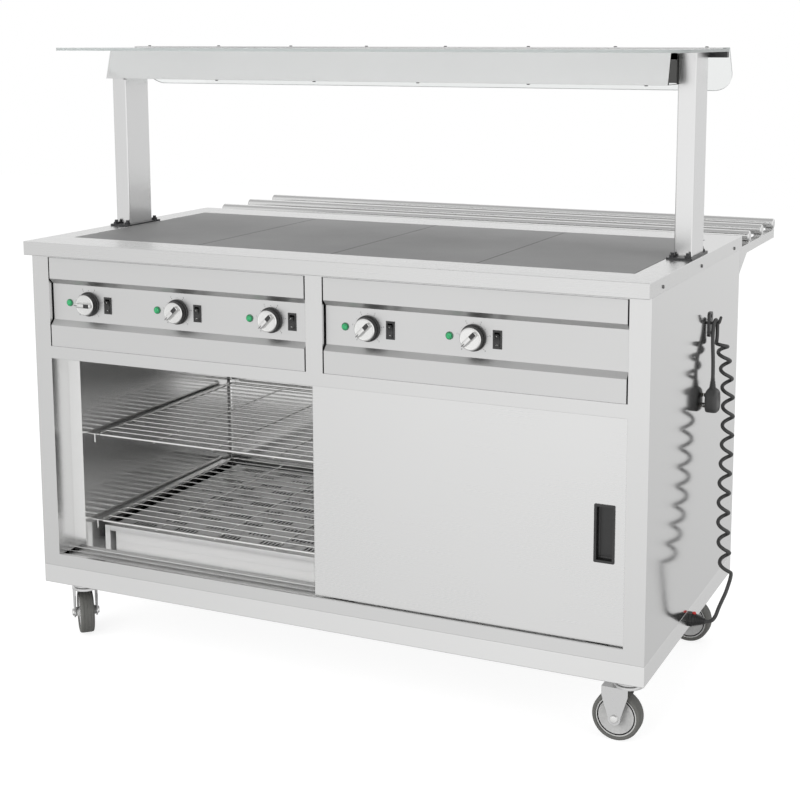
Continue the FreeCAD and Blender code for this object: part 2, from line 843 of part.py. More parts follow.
def rocker(x):
    """A rocker whose face is hollowed in two shallow facets, turning on the cross pin."""
    c = x + switch_offset
    w = switch_width / 2 - switch_border - 1 - rocker_gap
    h = switch_height / 2 - switch_border - 1 - rocker_gap
    y = trough_depth
    axis = y + rocker_axis_depth
    face = y - switch_flange - 0.6
    tip = face - rocker_rise
    z = control_middle
    inset = h - 1.6
    outline = [(tip, z + inset), (face, z), (tip, z - inset), (axis - 1, z - inset + 1),
               (axis + 3, z - 5), (axis + 3, z + 5), (axis - 1, z + inset - 1)]
    body = polygon([(c - w, a, b) for a, b in outline]).extrude(V(2 * w, 0, 0))
    bore = rod((c - w - 1, axis, z), (1, 0, 0), rocker_pin_radius + rocker_pin_play, 2 * w + 2)
    body = body.cut(bore)
    body.rotate(V(c, axis, z), V(1, 0, 0), rocker_angle)
    return body


# ---------------------------------------------------------------- gantry
def gantry_posts():
    posts = []
    for s in (-1, 1):
        a, b = sorted((s * post_inner, s * post_outer))
        z0 = counter_top + base_plate_thickness
        post = block(a, b, post_front, post_back, z0, gantry_height)
        post = round_edges(post, 3.0, vertical)
        w = post_wall
        posts.append(post.cut(block(a + w, b - w, post_front + w, post_back - w, z0 - 1,
                                    gantry_height - w)))
    return posts


def base_plate_box(s):
    outer = half_width - base_plate_side_gap
    x = sorted((s * outer, s * (outer - base_plate_width)))
    middle = (post_front + post_back) / 2
    return x[0], x[1], middle - base_plate_depth / 2, middle + base_plate_depth / 2


def bolt_places(s):
    x0, x1, y0, y1 = base_plate_box(s)
    return [(x, y) for x in (x0 + bolt_edge, x1 - bolt_edge) for y in (y0 + bolt_edge,
                                                                      y1 - bolt_edge)]


def post_bases():
    plates = []
    for s in (-1, 1):
        x0, x1, y0, y1 = base_plate_box(s)
        plate = block(x0, x1, y0, y1, counter_top, counter_top + base_plate_thickness)
        plate = round_edges(plate, 4.0, vertical)
        holes = [rod((x, y, counter_top - 1), (0, 0, 1), bolt_radius,
                     base_plate_thickness + 2) for x, y in bolt_places(s)]
        plates.append(cut(plate, holes))
    return plates


def post_bolts():
    bolts = []
    z = counter_top + base_plate_thickness
    for s in (-1, 1):
        for x, y in bolt_places(s):
            corners = [(x + bolt_head_radius * math.cos(math.radians(60 * k)),
                        y + bolt_head_radius * math.sin(math.radians(60 * k)), z)
                       for k in range(6)]
            head = polygon(corners).extrude(V(0, 0, bolt_head_height))
            shank = rod((x, y, z - base_plate_thickness), (0, 0, 1), bolt_radius,
                        base_plate_thickness + bolt_head_height + bolt_tip)
            bolts.append(fuse([head, shank]))
    return bolts


def housing_section(inset):
    top = gantry_height - inset
    low = gantry_height - housing_drop
    lean = (housing_front_top - housing_front_bottom) / housing_drop
    y_low = housing_front_bottom + inset * math.hypot(1, lean)
    y_top = housing_front_top + inset * math.hypot(1, lean) - lean * inset
    return [(y_low, low), (y_top, top), (post_back - inset, top), (post_back - inset, low)]


def lamp_housing():
    """A folded hood between the posts, open below and at its ends in front of the posts, with
    a lip along its front lower edge."""
    x1 = post_inner
    t = thin_sheet
    outer = polygon([(-x1, y, z) for y, z in housing_section(0)]).extrude(V(2 * x1, 0, 0))
    inner = polygon([(-x1 + t, y, z) for y, z in housing_section(t)])
    inner = inner.extrude(V(2 * x1 - 2 * t, 0, 0))
    low = gantry_height - housing_drop
    mouth = block(-x1 + t, x1 - t, housing_front_bottom + t, post_back - t, low - 1, low + 1)
    lip = block(-x1, x1, housing_front_bottom + 0.6, housing_front_bottom + housing_lip, low,
                low + t)
    hollow = polygon([(-x1 - 1, y, z) for y, z in housing_section(t)])
    hollow = hollow.extrude(V(2 * x1 + 2, 0, 0))
    ends = hollow.common(block(-x1 - 1, x1 + 1, housing_front_bottom,
                               post_front - housing_end_margin, low + t, gantry_height - t))
    return fuse([cut(outer, [inner, mouth, ends]), lip])


def lamp_reflector():
    x1 = post_inner - thin_sheet
    low = gantry_height - housing_drop + thin_sheet
    top = gantry_height - thin_sheet
    y0 = housing_front_bottom + reflector_inset
    y1 = post_back - thin_sheet
    y2 = y1 - reflector_inset
    t = reflector_sheet
    crest = top - reflector_inset
    front = [(y0, low), (y0 + reflector_inset, crest), (y2 - reflector_inset, crest),
             (y2, low), (y1, low)]
    back = [(y1, low + t), (y2 + t, low + t), (y2 - reflector_inset + t, crest + t),
            (y0 + reflector_inset - t, crest + t), (y0 - t, low)]
    return polygon([(-x1, y, z) for y, z in front + back]).extrude(V(2 * x1, 0, 0))


def heat_lamps():
    shapes = []
    crest = gantry_height - thin_sheet - reflector_inset
    y = (housing_front_top + post_back) / 2 - reflector_inset / 2
    z = crest - lamp_hang
    for k in range(lamp_bays):
        x = (k - (lamp_bays - 1) / 2) * lamp_bay_pitch
        tube = rod((x - lamp_tube_length / 2, y, z), (1, 0, 0), lamp_tube_radius,
                   lamp_tube_length)
        ends = []
        for s in (-1, 1):
            e = x + s * lamp_tube_length / 2
            holder = block(e - lamp_holder / 2, e + lamp_holder / 2, y - lamp_holder / 2,
                           y + lamp_holder / 2, z - lamp_holder / 2, crest)
            ends.append(holder)
        shapes.append(tube.cut(Part.makeCompound(ends)))
        shapes.extend(ends)
    return shapes


def top_glass():
    glass = block(-glass_half, glass_half, glass_front, glass_back, gantry_height, glass_top)
    glass = round_edges(glass, glass_corner, lambda e: vertical(e)
                        and e.Vertexes[0].Y < glass_front + 1)
    return glass


def visor_frame(shape):
    """Turn a shape drawn hanging straight down from the visor's top edge to its slant."""
    shape.rotate(V(0, glass_back + visor_rail_thickness, glass_top), V(1, 0, 0), visor_tilt)
    return shape


def rear_visor():
    y0 = glass_back + visor_rail_thickness
    z1 = glass_top
    visor = block(-glass_half, glass_half, y0, y0 + visor_thickness, z1 - visor_length, z1)
    visor = round_edges(visor, visor_corner, lambda e: abs(e.Vertexes[0].Y - e.Vertexes[-1].Y) > 1
                        and e.Vertexes[0].Z < z1 - visor_length + 1)
    return visor_frame(visor)


def visor_rail():
    """An angle along the back of the glass shelf: it lies on the glass, turns down behind it
    and carries the visor against its back."""
    x1 = glass_half - visor_rail_end_gap
    t = visor_rail_thickness
    flat = block(-x1, x1, glass_back - visor_rail_width, glass_back + t, glass_top,
                 glass_top + t)
    leg = block(-x1, x1, glass_back, glass_back + t, glass_top - visor_rail_drop, glass_top)
    return fuse([flat, leg])


def visor_clamps():
    clamps = []
    for s in (-1, 1):
        a, b = sorted((s * glass_half, s * (glass_half - clamp_width)))
        clamp = block(a, b, glass_back - clamp_depth, glass_back, gantry_height - clamp_height,
                      gantry_height)
        clamps.append(round_edges(clamp, 1.5, lambda e: e.Vertexes[0].Z < gantry_height - 1
                                  and e.Vertexes[-1].Z < gantry_height - 1))
    return clamps


def screw(base, direction):
    """A pan head on a short shank; base is the seat of the head, direction points out."""
    d = V(*direction)
    head = Part.makeCylinder(screw_head_radius, screw_head_height, V(*base), d)
    seat = V(*base) - d * screw_length
    shank = Part.makeCylinder(screw_radius, screw_length, seat, d)
    crown = V(*base) + d * screw_head_height
    head = round_edges(head, screw_head_height * 0.6,
                       lambda e: (e.CenterOfMass - crown).Length < 0.1)
    return fuse([head, shank])


def small_screws():
    shapes = []
    z = counter_top - side_screw_drop
    for s in (-1, 1):
        for y in side_screw_y:
            shapes.append(screw((s * worktop_half, y, z), (s, 0, 0)))
    y = glass_back - visor_rail_width / 2
    for k in range(rail_screws):
        x = (k - (rail_screws - 1) / 2) * rail_screw_pitch
        shapes.append(screw((x, y, glass_top + visor_rail_thickness), (0, 0, 1)))
    low = gantry_height - housing_drop
    for k in range(lamp_bays + 1):
        x = (k - lamp_bays / 2) * lamp_bay_pitch
        shapes.append(screw((x, housing_front_bottom + housing_lip / 2, low), (0, 0, -1)))
    return shapes


def screw_holes(shape, names):
    holes = []
    if "worktop" in names:
        z = counter_top - side_screw_drop
        for s in (-1, 1):
            for y in side_screw_y:
                holes.append(rod((s * (worktop_half - 8), y, z), (s, 0, 0), screw_radius, 9))
    if "glass" in names:
        y = glass_back - visor_rail_width / 2
        for k in range(rail_screws):
            x = (k - (rail_screws - 1) / 2) * rail_screw_pitch
            holes.append(rod((x, y, glass_top - 20), (0, 0, 1), screw_radius, 30))
    if "housing" in names:
        low = gantry_height - housing_drop
        for k in range(lamp_bays + 1):
            x = (k - lamp_bays / 2) * lamp_bay_pitch
            holes.append(rod((x, housing_front_bottom + housing_lip / 2, low - 1), (0, 0, 1),
                             screw_radius, 10))
    return cut(shape, holes)


# ---------------------------------------------------------------- tray slide
def tray_rails():
    x1 = half_width + rail_overhang - rail_cap
    shapes = []
    for k in range(rail_count):
        y = rail_first + k * rail_pitch
        tube = rod((-x1, y, rail_z), (1, 0, 0), rail_radius, 2 * x1)
        bore = rod((-x1 - 1, y, rail_z), (1, 0, 0), rail_radius - rail_wall, 2 * x1 + 2)
        shapes.append(tube.cut(bore))
        for s in (-1, 1):
            cap = rod((s * x1, y, rail_z), (s, 0, 0), rail_radius, rail_cap)
            end = s * (x1 + rail_cap)
            shapes.append(round_edges(cap, rail_cap * 0.8,
                                      lambda e: abs(e.CenterOfMass.x - end) < 0.1))
    return shapes


def tray_bracket():
    """A bracket on the back panel: a plate below the rails with a tapered foot, a flange on the
    panel and a saddle under each rail."""
    x1 = half_width
    y0 = body_depth
    notch = worktop_back + worktop_clear
    under = body_top - worktop_clear
    outline = [(y0, under), (notch, under), (notch, bracket_top), (bracket_end, bracket_top),
               (bracket_end, bracket_bottom), (y0 + 70, bracket_bottom), (y0, bracket_foot)]
    plate = polygon([(x1 - bracket_plate, y, z) for y, z in outline])
    plate = plate.extrude(V(bracket_plate, 0, 0))
    foot = block(x1 - bracket_foot_width, x1, y0, y0 + bracket_plate, bracket_foot, under)
    shelf = block(x1 - bracket_flange, x1, notch, bracket_end, bracket_top - bracket_plate,
                  bracket_top)
    shapes = [plate, foot, shelf]
    for k in range(rail_count):
        y = rail_first + k * rail_pitch
        block_low = block(x1 - bracket_flange, x1, y - saddle_width / 2, y + saddle_width / 2,
                          bracket_top, bracket_top + saddle_height)
        groove = rod((x1 - bracket_flange - 1, y, rail_z), (1, 0, 0), rail_radius,
                     bracket_flange + 2)
        shapes.append(block_low.cut(groove))
    return fuse(shapes)


# ---------------------------------------------------------------- castors
def castor_places():
    return {"front_left": (-castor_x, castor_inset_y), "front_right": (castor_x, castor_inset_y),
            "back_left": (-castor_x, castor_back_y), "back_right": (castor_x, castor_back_y)}


def castor_levels():
    crown = 2 * wheel_radius + fork_wheel_gap
    cup_top = crown + fork_sheet + fork_cup_height
    return crown, cup_top


def castor_plates():
    shapes = []
    crown, cup_top = castor_levels()
    top = plinth_bottom
    for x, y in castor_places().values():
        plate = block(x - castor_plate_width / 2, x + castor_plate_width / 2,
                      y - castor_plate_depth / 2, y + castor_plate_depth / 2,
                      top - castor_plate_thickness, top)
        plate = round_edges(plate, 6.0, vertical)
        race = rod((x, y, cup_top + castor_gap), (0, 0, 1), castor_race_radius,
                   top - castor_plate_thickness - cup_top - castor_gap)
        pin = rod((x, y, crown - 3), (0, 0, 1), kingpin_radius, top - crown)
        nut = rod((x, y, crown - 3), (0, 0, 1), kingpin_radius + 2.5, 3 - castor_gap)
        shapes.append(fuse([plate, race, pin, nut]))
    return shapes


def turned(shape, name):
    x, y = castor_places()[name]
    shape.rotate(V(0, 0, 0), V(0, 0, 1), castor_turn[name])
    shape.translate(V(x, y, 0))
    return shape


def castor_fork(name):
    """A pressed fork trailing along its own +X: two tapered legs under a crown and a cup, with
    the axle bolt through their ends."""
    crown, cup_top = castor_levels()
    w = fork_top_width / 2
    gap = fork_inside / 2
    t = fork_sheet
    r = fork_end_radius
    a = castor_trail
    legs = []
    for s in (-1, 1):
        y = s * gap if s > 0 else -gap - t
        outline = [(a - w, y, crown + t), (a + w, y, crown + t), (a + w, y, crown - 14),
                   (a + r, y, wheel_radius + 3), (a - r, y, wheel_radius + 3),
                   (a - w, y, crown - 14)]
        leg = polygon(outline).extrude(V(0, t, 0))
        end = rod((a, y, wheel_radius), (0, 1, 0), r, t)
        legs.append(fuse([leg, end]))
    top = block(a - w, a + w, -gap - t, gap + t, crown, crown + t)
    cup = rod((0, 0, crown + t), (0, 0, 1), fork_cup_radius, fork_cup_height)
    cup = round_edges(cup, 4.0, lambda e: e.CenterOfMass.z > cup_top - 0.1)
    body = fuse(legs + [top, cup])
    body = round_edges(body, 1.2, lambda e: vertical(e)
                       and abs(abs(e.Vertexes[0].X - a) - w) < 0.1)
    pin_hole = rod((0, 0, crown - 1), (0, 0, 1), kingpin_radius + kingpin_play,
                   cup_top - crown + 2)
    axle_hole = rod((a, -gap - t - 1, wheel_radius), (0, 1, 0), axle_radius,
                    2 * (gap + t) + 2)
    body = cut(body, [pin_hole, axle_hole])
    bolt = [rod((a, -gap - t, wheel_radius), (0, 1, 0), axle_radius, 2 * (gap + t))]
    for s in (-1, 1):
        bolt.append(rod((a, s * (gap + t), wheel_radius), (0, s, 0), axle_head_radius,
                        axle_head_height))
    return [turned(body, name), turned(fuse(bolt), name)]


def castor_wheel(name):
    """A tyre on a dished hub, each turned about the axle."""
    a = castor_trail
    w = wheel_width / 2

    def ring(outer, inner, half):
        tube = rod((a, -half, wheel_radius), (0, 1, 0), outer, 2 * half)
        return tube.cut(rod((a, -half - 1, wheel_radius), (0, 1, 0), inner, 2 * half + 2))

    def on_rim(edge, radius):
        curve = getattr(edge, "Curve", None)
        return hasattr(curve, "Radius") and abs(curve.Radius - radius) < 0.01

    tyre = ring(wheel_radius, hub_radius, w)
    tyre = round_edges(tyre, wheel_round, lambda e: on_rim(e, wheel_radius)
                       and abs(e.CenterOfMass.y) > w - 0.1)
    half = hub_width / 2
    bore = axle_radius + axle_play
    hub = fuse([ring(hub_radius, bore, half), ring(hub_boss_radius, bore, hub_boss_width / 2)])
    for s in (-1, 1):
        face = s * half
        groove = rod((a, face, wheel_radius), (0, -s, 0), hub_radius - 0.8, hub_groove_depth)
        core = rod((a, face, wheel_radius), (0, -s, 0), hub_radius - 0.8 - hub_groove,
                   hub_groove_depth)
        hub = hub.cut(groove.cut(core))
    return [turned(tyre, name), turned(hub, name)]


# ---------------------------------------------------------------- cord
def cable_gland():
    y, z = gland_y, gland_height
    x = half_width
    nut = rod((x, y, z), (1, 0, 0), gland_nut_radius, gland_nut_length)
    body = rod((x, y, z), (1, 0, 0), gland_body_radius, gland_nut_length + gland_body_length)
    start = x + gland_nut_length + gland_body_length
    tail = Part.makeCone(gland_body_radius - 1, gland_tail_radius, gland_tail_length,
                         V(start, y, z), V(1, 0, 0))
    return fuse([nut, body, tail])


def gland_face():
    return half_width + gland_nut_length + gland_body_length + gland_tail_length


def fillet_path(points, fixed_trim=None):
    """Edges of a route: straight runs joined by tangent arcs, each as large as its runs allow
    unless a trim is given. Returns the edges and the arcs' radii."""
    pts = [V(*p) for p in points]
    edges = []
    radii = []
    start = pts[0]
    for i in range(1, len(pts) - 1):
        before = (pts[i] - pts[i - 1])
        after = (pts[i + 1] - pts[i])
        shorter = min(before.Length, after.Length)
        u, w = before.normalize(), after.normalize()
        turn = u.getAngle(w)
        trim = fixed_trim if fixed_trim else 0.45 * shorter
        radius = trim / math.tan(turn / 2)
        a = pts[i] - u * trim
        b = pts[i] + w * trim
        bisector = (w - u).normalize()
        centre = pts[i] + bisector * (radius / math.cos(turn / 2))
        middle = centre - bisector * radius
        edges.append(Part.LineSegment(start, a).toShape())
        edges.append(Part.Arc(a, middle, b).toShape())
        radii.append(radius)
        start = b
    edges.append(Part.LineSegment(start, pts[-1]).toShape())
    return edges, radii


def tube_along(edges, start, direction, radius):
    profile = Part.Wire(Part.makeCircle(radius, start, direction))
    return Part.Wire(edges).makePipeShell([profile], True, False)


def arc_from(a, tangent, b):
    """The circular arc from a to b that leaves a along tangent."""
    chord = b - a
    t = tangent.normalize()
    side = chord - t * chord.dot(t)
    if side.Length < 1e-7:
        return Part.LineSegment(a, b).toShape()
    n = V(side).normalize()
    radius = chord.Length ** 2 / (2 * chord.dot(n))
    centre = a + n * radius
    toward = ((a + b) * 0.5 - centre).normalize()
    middle = centre + toward * abs(radius)
    return Part.Arc(a, middle, b).toShape()


def biarc(a, ta, b, tb):
    """Two tangent arcs from a, leaving along ta, to b, arriving along tb."""
    v = b - a
    t = ta + tb
    quad = 2 * (1 - ta.dot(tb))
    root = math.sqrt(v.dot(t) ** 2 + quad * v.dot(v))
    d = (-v.dot(t) + root) / quad if quad > 1e-9 else v.dot(v) / (4 * v.dot(tb))
    p = a + ta * d
    q = b - tb * d
    joint = (p + q) * 0.5
    first = arc_from(a, V(ta), joint)
    tangent = (q - p).normalize()
    second = arc_from(joint, V(tangent), b)
    return [first, second]


def coil_middle(turn):
    """Middle of the coil after so many turns: a cubic line seen from above, falling steadily
    once the first turn, which lies closer, is past."""
    c = coil_closing_turns

    def fallen(t):
        return t - c * (1 - math.exp(-t / c))

    s = fallen(turn) / fallen(coil_turns)
    weights = ((1 - s) ** 3, 3 * s * (1 - s) ** 2, 3 * s * s * (1 - s), s ** 3)
    x = sum(w * p[0] for w, p in zip(weights, coil_middle_line))
    y = sum(w * p[1] for w, p in zip(weights, coil_middle_line))
    return V(x, y, coil_top_height + (coil_bottom_height - coil_top_height) * s)


def coil_point(turn):
    """Place and direction on the helix after so many turns from its upper end."""
    angle = math.pi + 2 * math.pi * turn
    middle = coil_middle(turn)
    point = middle + V(math.cos(angle), math.sin(angle), 0) * coil_radius
    step = 0.01
    slope = (coil_middle(turn + step) - coil_middle(turn)) * (1 / step)
    spin = V(-math.sin(angle), math.cos(angle), 0) * (2 * math.pi * coil_radius)
    return point, (slope + spin).normalize()


def coil_edges():
    steps = int(round(coil_turns * 4))
    nodes = [coil_point(k / 4.0) for k in range(steps + 1)]
    top, bottom = coil_ends()
    edges = [Part.LineSegment(top[0], top[0] + top[1] * cord_diameter).toShape()]
    stations = [(top[0] + top[1] * cord_diameter, top[1])] + nodes
    stations.append((bottom[0] - bottom[1] * cord_diameter, bottom[1]))
    for (a, ta), (b, tb) in zip(stations, stations[1:]):
        edges.extend(biarc(a, ta, b, tb))
    edges.append(Part.LineSegment(bottom[0] - bottom[1] * cord_diameter, bottom[0]).toShape())
    return edges


def coil_ends():
    """Upper end, pointing down under the hook, and lower end, pointing at the gland's lead."""
    first, _ = coil_point(0)
    top = V(first.x + 1.0, hook_y + saddle_half_gap_y, coil_top_height + coil_entry_drop + 12)
    lower = V(*lower_route()[-2]) - V(*lower_route()[-1])
    return (top, V(0, 0, -1)), (V(*lower_route()[-1]), lower.normalize())


def lower_route():
    """The lead from the gland's face up to the coil's lower end."""
    x = gland_face()
    y = gland_y
    z = gland_height
    return [(x, y, z), (x + 11, y, z), (x + 20, y + 3, z + 12), (x + 24, y + 9, z + 28),
            (x + 29, y + 18, z + 43), (x + 34, y + 28, z + 57), (x + 37, y + 35, z + 72)]


def upper_route():
    """From the coil's upper end up, over the hook and down to the plug's neck."""
    top = coil_ends()[0][0]
    peak = hook_height + hook_rod_radius + cord_radius + 0.4
    y1 = hook_y + saddle_half_gap_y
    y0 = hook_y - saddle_half_gap_y
    x1 = top.x
    side = peak - 7.5
    neck = plug_top + plug_neck_length
    return [(x1, y1, top.z), (x1, y1, side), (x1 - 2.0, y1 - 4.0, peak),
            (saddle_x + 2.0, y0 + 4.0, peak), (saddle_x, y0, side),
            (saddle_x + 0.8, y0 - 11.0, neck + 83.0),
            (plug_lead_x, plug_y, neck + 40.0), (plug_lead_x, plug_y, neck)]


def cord_tube(route):
    edges, radii = fillet_path(route)
    start = V(*route[0])
    direction = V(*route[1]) - start
    solid = tube_along(edges, start, direction, cord_radius)
    length = sum(e.Length for e in edges)
    print("cord run length", round(length, 1), "volume ratio",
          round(solid.Volume / (math.pi * cord_radius ** 2 * length), 4),
          "radii", [round(r, 1) for r in radii])
    return solid


def self_gap(edges):
    """Least gap of the tube to itself, on points, skipping neighbours along it."""
    points = []
    travelled = []
    total = 0.0
    for edge in edges:
        count = max(2, int(edge.Length / 2.0))
        for p in edge.discretize(count)[:-1]:
            if points:
                total += (p - points[-1]).Length
            points.append(p)
            travelled.append(total)
    least = 1e9
    for i in range(len(points)):
        for j in range(i + 1, len(points)):
            if travelled[j] - travelled[i] > 5 * cord_diameter:
                least = min(least, (points[i] - points[j]).Length)
    return least - cord_diameter


def cord_coil():
    edges = coil_edges()
    top, _ = coil_ends()
    solid = tube_along(edges, top[0], top[1], cord_radius)
    length = sum(e.Length for e in edges)
    print("coil length", round(length, 1), "volume ratio",
          round(solid.Volume / (math.pi * cord_radius ** 2 * length), 4),
          "least gap to itself", round(self_gap(edges), 2))
    return solid


def cord_hook():
    """A rod hook on a small wall plate with two screws: an arm that ends in an upturned tip."""
    x0 = half_width
    t = hook_plate_thickness
    r = hook_rod_radius
    plate = block(x0, x0 + t, hook_y - hook_plate_width / 2, hook_y + hook_plate_width / 2,
                  hook_height - hook_plate_height * 0.55, hook_height + hook_plate_height * 0.45)
    plate = round_edges(plate, 8.0, lambda e: abs(e.Vertexes[0].X - e.Vertexes[-1].X) > 1)
    middle = hook_height - hook_plate_height * 0.05
    screws = [rod((x0 + t - 1, hook_y, middle + s * hook_screw_half_gap), (1, 0, 0),
                  hook_screw_radius, hook_screw_height + 1) for s in (-1, 1)]
    start = V(x0 + t - 1, hook_y, hook_height)
    tip = V(x0 + hook_reach, hook_y, hook_tip)
    edges, _ = fillet_path([start, V(x0 + hook_arm, hook_y, hook_height), tip], hook_bend_trim)
    arm = tube_along(edges, start, V(1, 0, 0), r)
    ball = Part.makeSphere(r, tip)
    return fuse([plate, arm, ball] + screws)


def plug():
    """A rewirable mains plug hanging by its cord, its pins towards the side panel."""
    w, t = plug_width / 2, plug_thickness / 2
    x = half_width + plug_wall_gap + pin_length + t
    y = plug_y
    z1, z0 = plug_top, plug_top - plug_height
    outline = [(-0.32 * w, z1), (0.32 * w, z1), (0.8 * w, z1 - 7), (w, z1 - 17),
               (w, z0 + 12), (0.62 * w, z0), (-0.62 * w, z0), (-w, z0 + 12), (-w, z1 - 17),
               (-0.8 * w, z1 - 7)]
    body = polygon([(x - t, y + a, b) for a, b in outline]).extrude(V(plug_thickness, 0, 0))
    body = round_edges(body, 3.0, lambda e: abs(abs(e.Vertexes[0].X - x) - t) < 0.1
                       and abs(abs(e.Vertexes[-1].X - x) - t) < 0.1)
    neck = rod((plug_lead_x, y, z1 - 1), (0, 0, 1), plug_neck_radius, plug_neck_length + 1)
    pins = []
    middle = (z0 + z1) / 2 - 2
    for py, pz, pw, ph in ((0.0, middle + 11, 4.0, 8.0), (-11.1, middle - 11, 6.3, 4.0),
                           (11.1, middle - 11, 6.3, 4.0)):
        pins.append(block(x - t - pin_length, x - t, y + py - pw / 2, y + py + pw / 2,
                          pz - ph / 2, pz + ph / 2))
    return [fuse([body, neck])] + pins


# ---------------------------------------------------------------- the whole assembly
def build():
    write("base_frame", [base_frame()])
    write("side_panels", [mirror_x(side_panel()), side_panel()])
    write("back_panel", [back_panel()])
    write("front_frame", [front_frame()])
    write("control_panels", control_panels())
    write("worktop", [screw_holes(worktop(), ["worktop"])])
    write("heated_tiles", heated_tiles())
    write("heating_elements", heating_elements())
    write("inner_liner", [inner_liner()])
    write("shelf_supports", shelf_supports())
    write("wire_shelves", [wire_shelf(upper_shelf_height), wire_shelf(lower_shelf_height)])
    write("element_cover", element_cover())
    write("door_tracks", door_tracks())
    write("front_door", sliding_door(front_door_y, False))
    write("front_door_pull", [door_pull(front_door_y, False)])
    write("rear_door", sliding_door(rear_door_y, True))
    write("rear_door_pull", [door_pull(rear_door_y, True)])
    write("indicator_lamps", indicator_lamps())
    write("thermostats", thermostats())
    write("switch_housings", switch_housings())
    for number, x in enumerate(control_places(), 1):
        write("knob_%d" % number, [knob(x, knob_turns[number - 1])])
        write("rocker_%d" % number, [rocker(x)])
    write("gantry_posts", gantry_posts())
    write("post_bases", post_bases() + post_bolts())
    write("lamp_housing", [screw_holes(lamp_housing(), ["housing"]), lamp_reflector()])
    write("heat_lamps", heat_lamps())
    write("top_glass", [screw_holes(top_glass(), ["glass"])])
    write("visor_rail", [screw_holes(visor_rail(), ["glass"])])
    write("rear_visor", [rear_visor()])
    write("visor_clamps", visor_clamps())
    write("small_screws", small_screws())
    write("tray_rails", tray_rails())
    bracket = tray_bracket()
    write("tray_brackets", [bracket, mirror_x(bracket)])
    write("castor_plates", castor_plates())
    for name in castor_places():
        write("castor_fork_" + name, castor_fork(name))
        tyre, hub = castor_wheel(name)
        write("castor_tyre_" + name, [tyre])
        write("castor_hub_" + name, [hub])
    write("cord_hook", [cord_hook()])
    write("cable_gland", [cable_gland()])
    write("cord_lower", [cord_tube(lower_route())])
    write("cord_coil", [cord_coil()])
    write("cord_upper", [cord_tube(upper_route())])
    write("plug", plug())


build()
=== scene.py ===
"""Looks for a heated serving trolley: brushed steel cabinet, dark heated tiles, a gantry with a
glass shelf, five thermostats and switches, four castors and a curly mains cord.

Lengths in the tables below are millimetres about the middle of the cabinet: x from the middle,
y back from the front face, z up from the floor. row() turns them into the frame's metres."""
import math

import bmesh
import bpy
import numpy as np
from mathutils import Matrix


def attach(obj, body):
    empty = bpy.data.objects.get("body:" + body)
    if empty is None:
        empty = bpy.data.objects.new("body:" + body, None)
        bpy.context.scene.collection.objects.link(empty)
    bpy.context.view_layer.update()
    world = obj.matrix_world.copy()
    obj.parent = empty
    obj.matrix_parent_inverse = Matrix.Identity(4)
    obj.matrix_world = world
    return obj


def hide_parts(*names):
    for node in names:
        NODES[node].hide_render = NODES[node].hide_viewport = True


bl_info = {
    "name": "Heated serving trolley looks",
    "version": (1, 0, 0),
    "blender": (4, 5, 0),
    "location": "View3D > Sidebar > Trolley",
    "description": "Finishes and detail pieces for a heated serving trolley",
    "category": "Object",
}

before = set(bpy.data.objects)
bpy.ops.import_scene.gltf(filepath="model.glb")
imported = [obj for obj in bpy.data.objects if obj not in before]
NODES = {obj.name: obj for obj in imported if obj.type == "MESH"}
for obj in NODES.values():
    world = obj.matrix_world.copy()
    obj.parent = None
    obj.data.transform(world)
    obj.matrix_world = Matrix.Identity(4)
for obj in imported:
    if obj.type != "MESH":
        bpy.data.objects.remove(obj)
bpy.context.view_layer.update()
FLOOR_GLOW, FLOOR_SHARE = 1.34, 0.60       # the light that lifts the open floor to white
PLAIN_LIGHT = 0.62                # what the surroundings give to matt surfaces
BACK_GLOSS = 1.4                  # how much more of them gloss shows behind than in front
# how bright the surroundings look in gloss, from straight down to straight up
FRONT_FALL = ((0.0, 0.3), (0.1, 0.35), (0.275, 0.8), (0.32, 0.87), (0.41, 1.0), (0.76, 1.0),
              (0.96, 0.5), (1.0, 0.5))
BACK_FALL = ((0.0, 0.22), (0.1, 0.25), (0.275, 0.46), (0.335, 0.5), (0.45, 0.6), (0.62, 0.6),
             (0.71, 0.95), (0.79, 0.95), (0.87, 0.5), (1.0, 0.4))
MIDDLE = (2.25, 522.25, 0.0)      # the frame's origin in the cabinet's own millimetres
MERGE = 2e-6                      # points closer than this many metres are one
# a box's faces, its corners numbered round one end and then round the other
BOX_FACES = [[0, 1, 2, 3], [4, 7, 6, 5], [0, 4, 5, 1], [1, 5, 6, 2], [2, 6, 7, 3], [3, 7, 4, 0]]

CONTROL_STARTS = (-662.0, -432.0, -202.0, 22.5, 252.5)
CONTROL_HEIGHT = 799.0
TROUGH = 12.0                     # panel floor behind the front face
KNOB_AT, LAMP_AT, SWITCH_AT = 95.0, 44.0, 145.5
GRIP_TURNS = (180.0, 225.0, 225.0, 225.0, 225.0)    # where each pointer stands, degrees
DIAL_START, DIAL_STEP, DIAL_MARKS = 225.0, 27.0, 11  # the ticks' angles, clockwise, degrees
TICK_FOOT, SHORT_TICK, LONG_TICK, NUMBER_AT = 29.6, 31.0, 32.2, 35.2   # from a dial's middle
ROCKER_AXIS, ROCKER_TILT = 16.0, 9.0
ROCKER_MARK = 7.23                # back of the on and off marks, inside the rocker's face
TILE_JOINTS = (-325.0, 0.0, 325.0)
WELL_FRONT, WELL_BACK, SEAL_LEVEL = 77.4, 606.6, 934.2
# x, y of each castor's king pin, and the way it trails from there, degrees
CASTORS = {
    "front_left": (-655.0, 77.0, 133.0),
    "front_right": (655.0, 77.0, 180.0),
    "back_left": (-655.0, 623.0, 38.0),
    "back_right": (655.0, 623.0, 178.0),
}
TRAIL = 21.0
AXLE_END = 26.5                   # outside of a fork from the wheel's middle
VISOR_TILT = 28.0
INNER_SKIN = 0.0006               # metres; deeper than this behind its planes is inside the hood

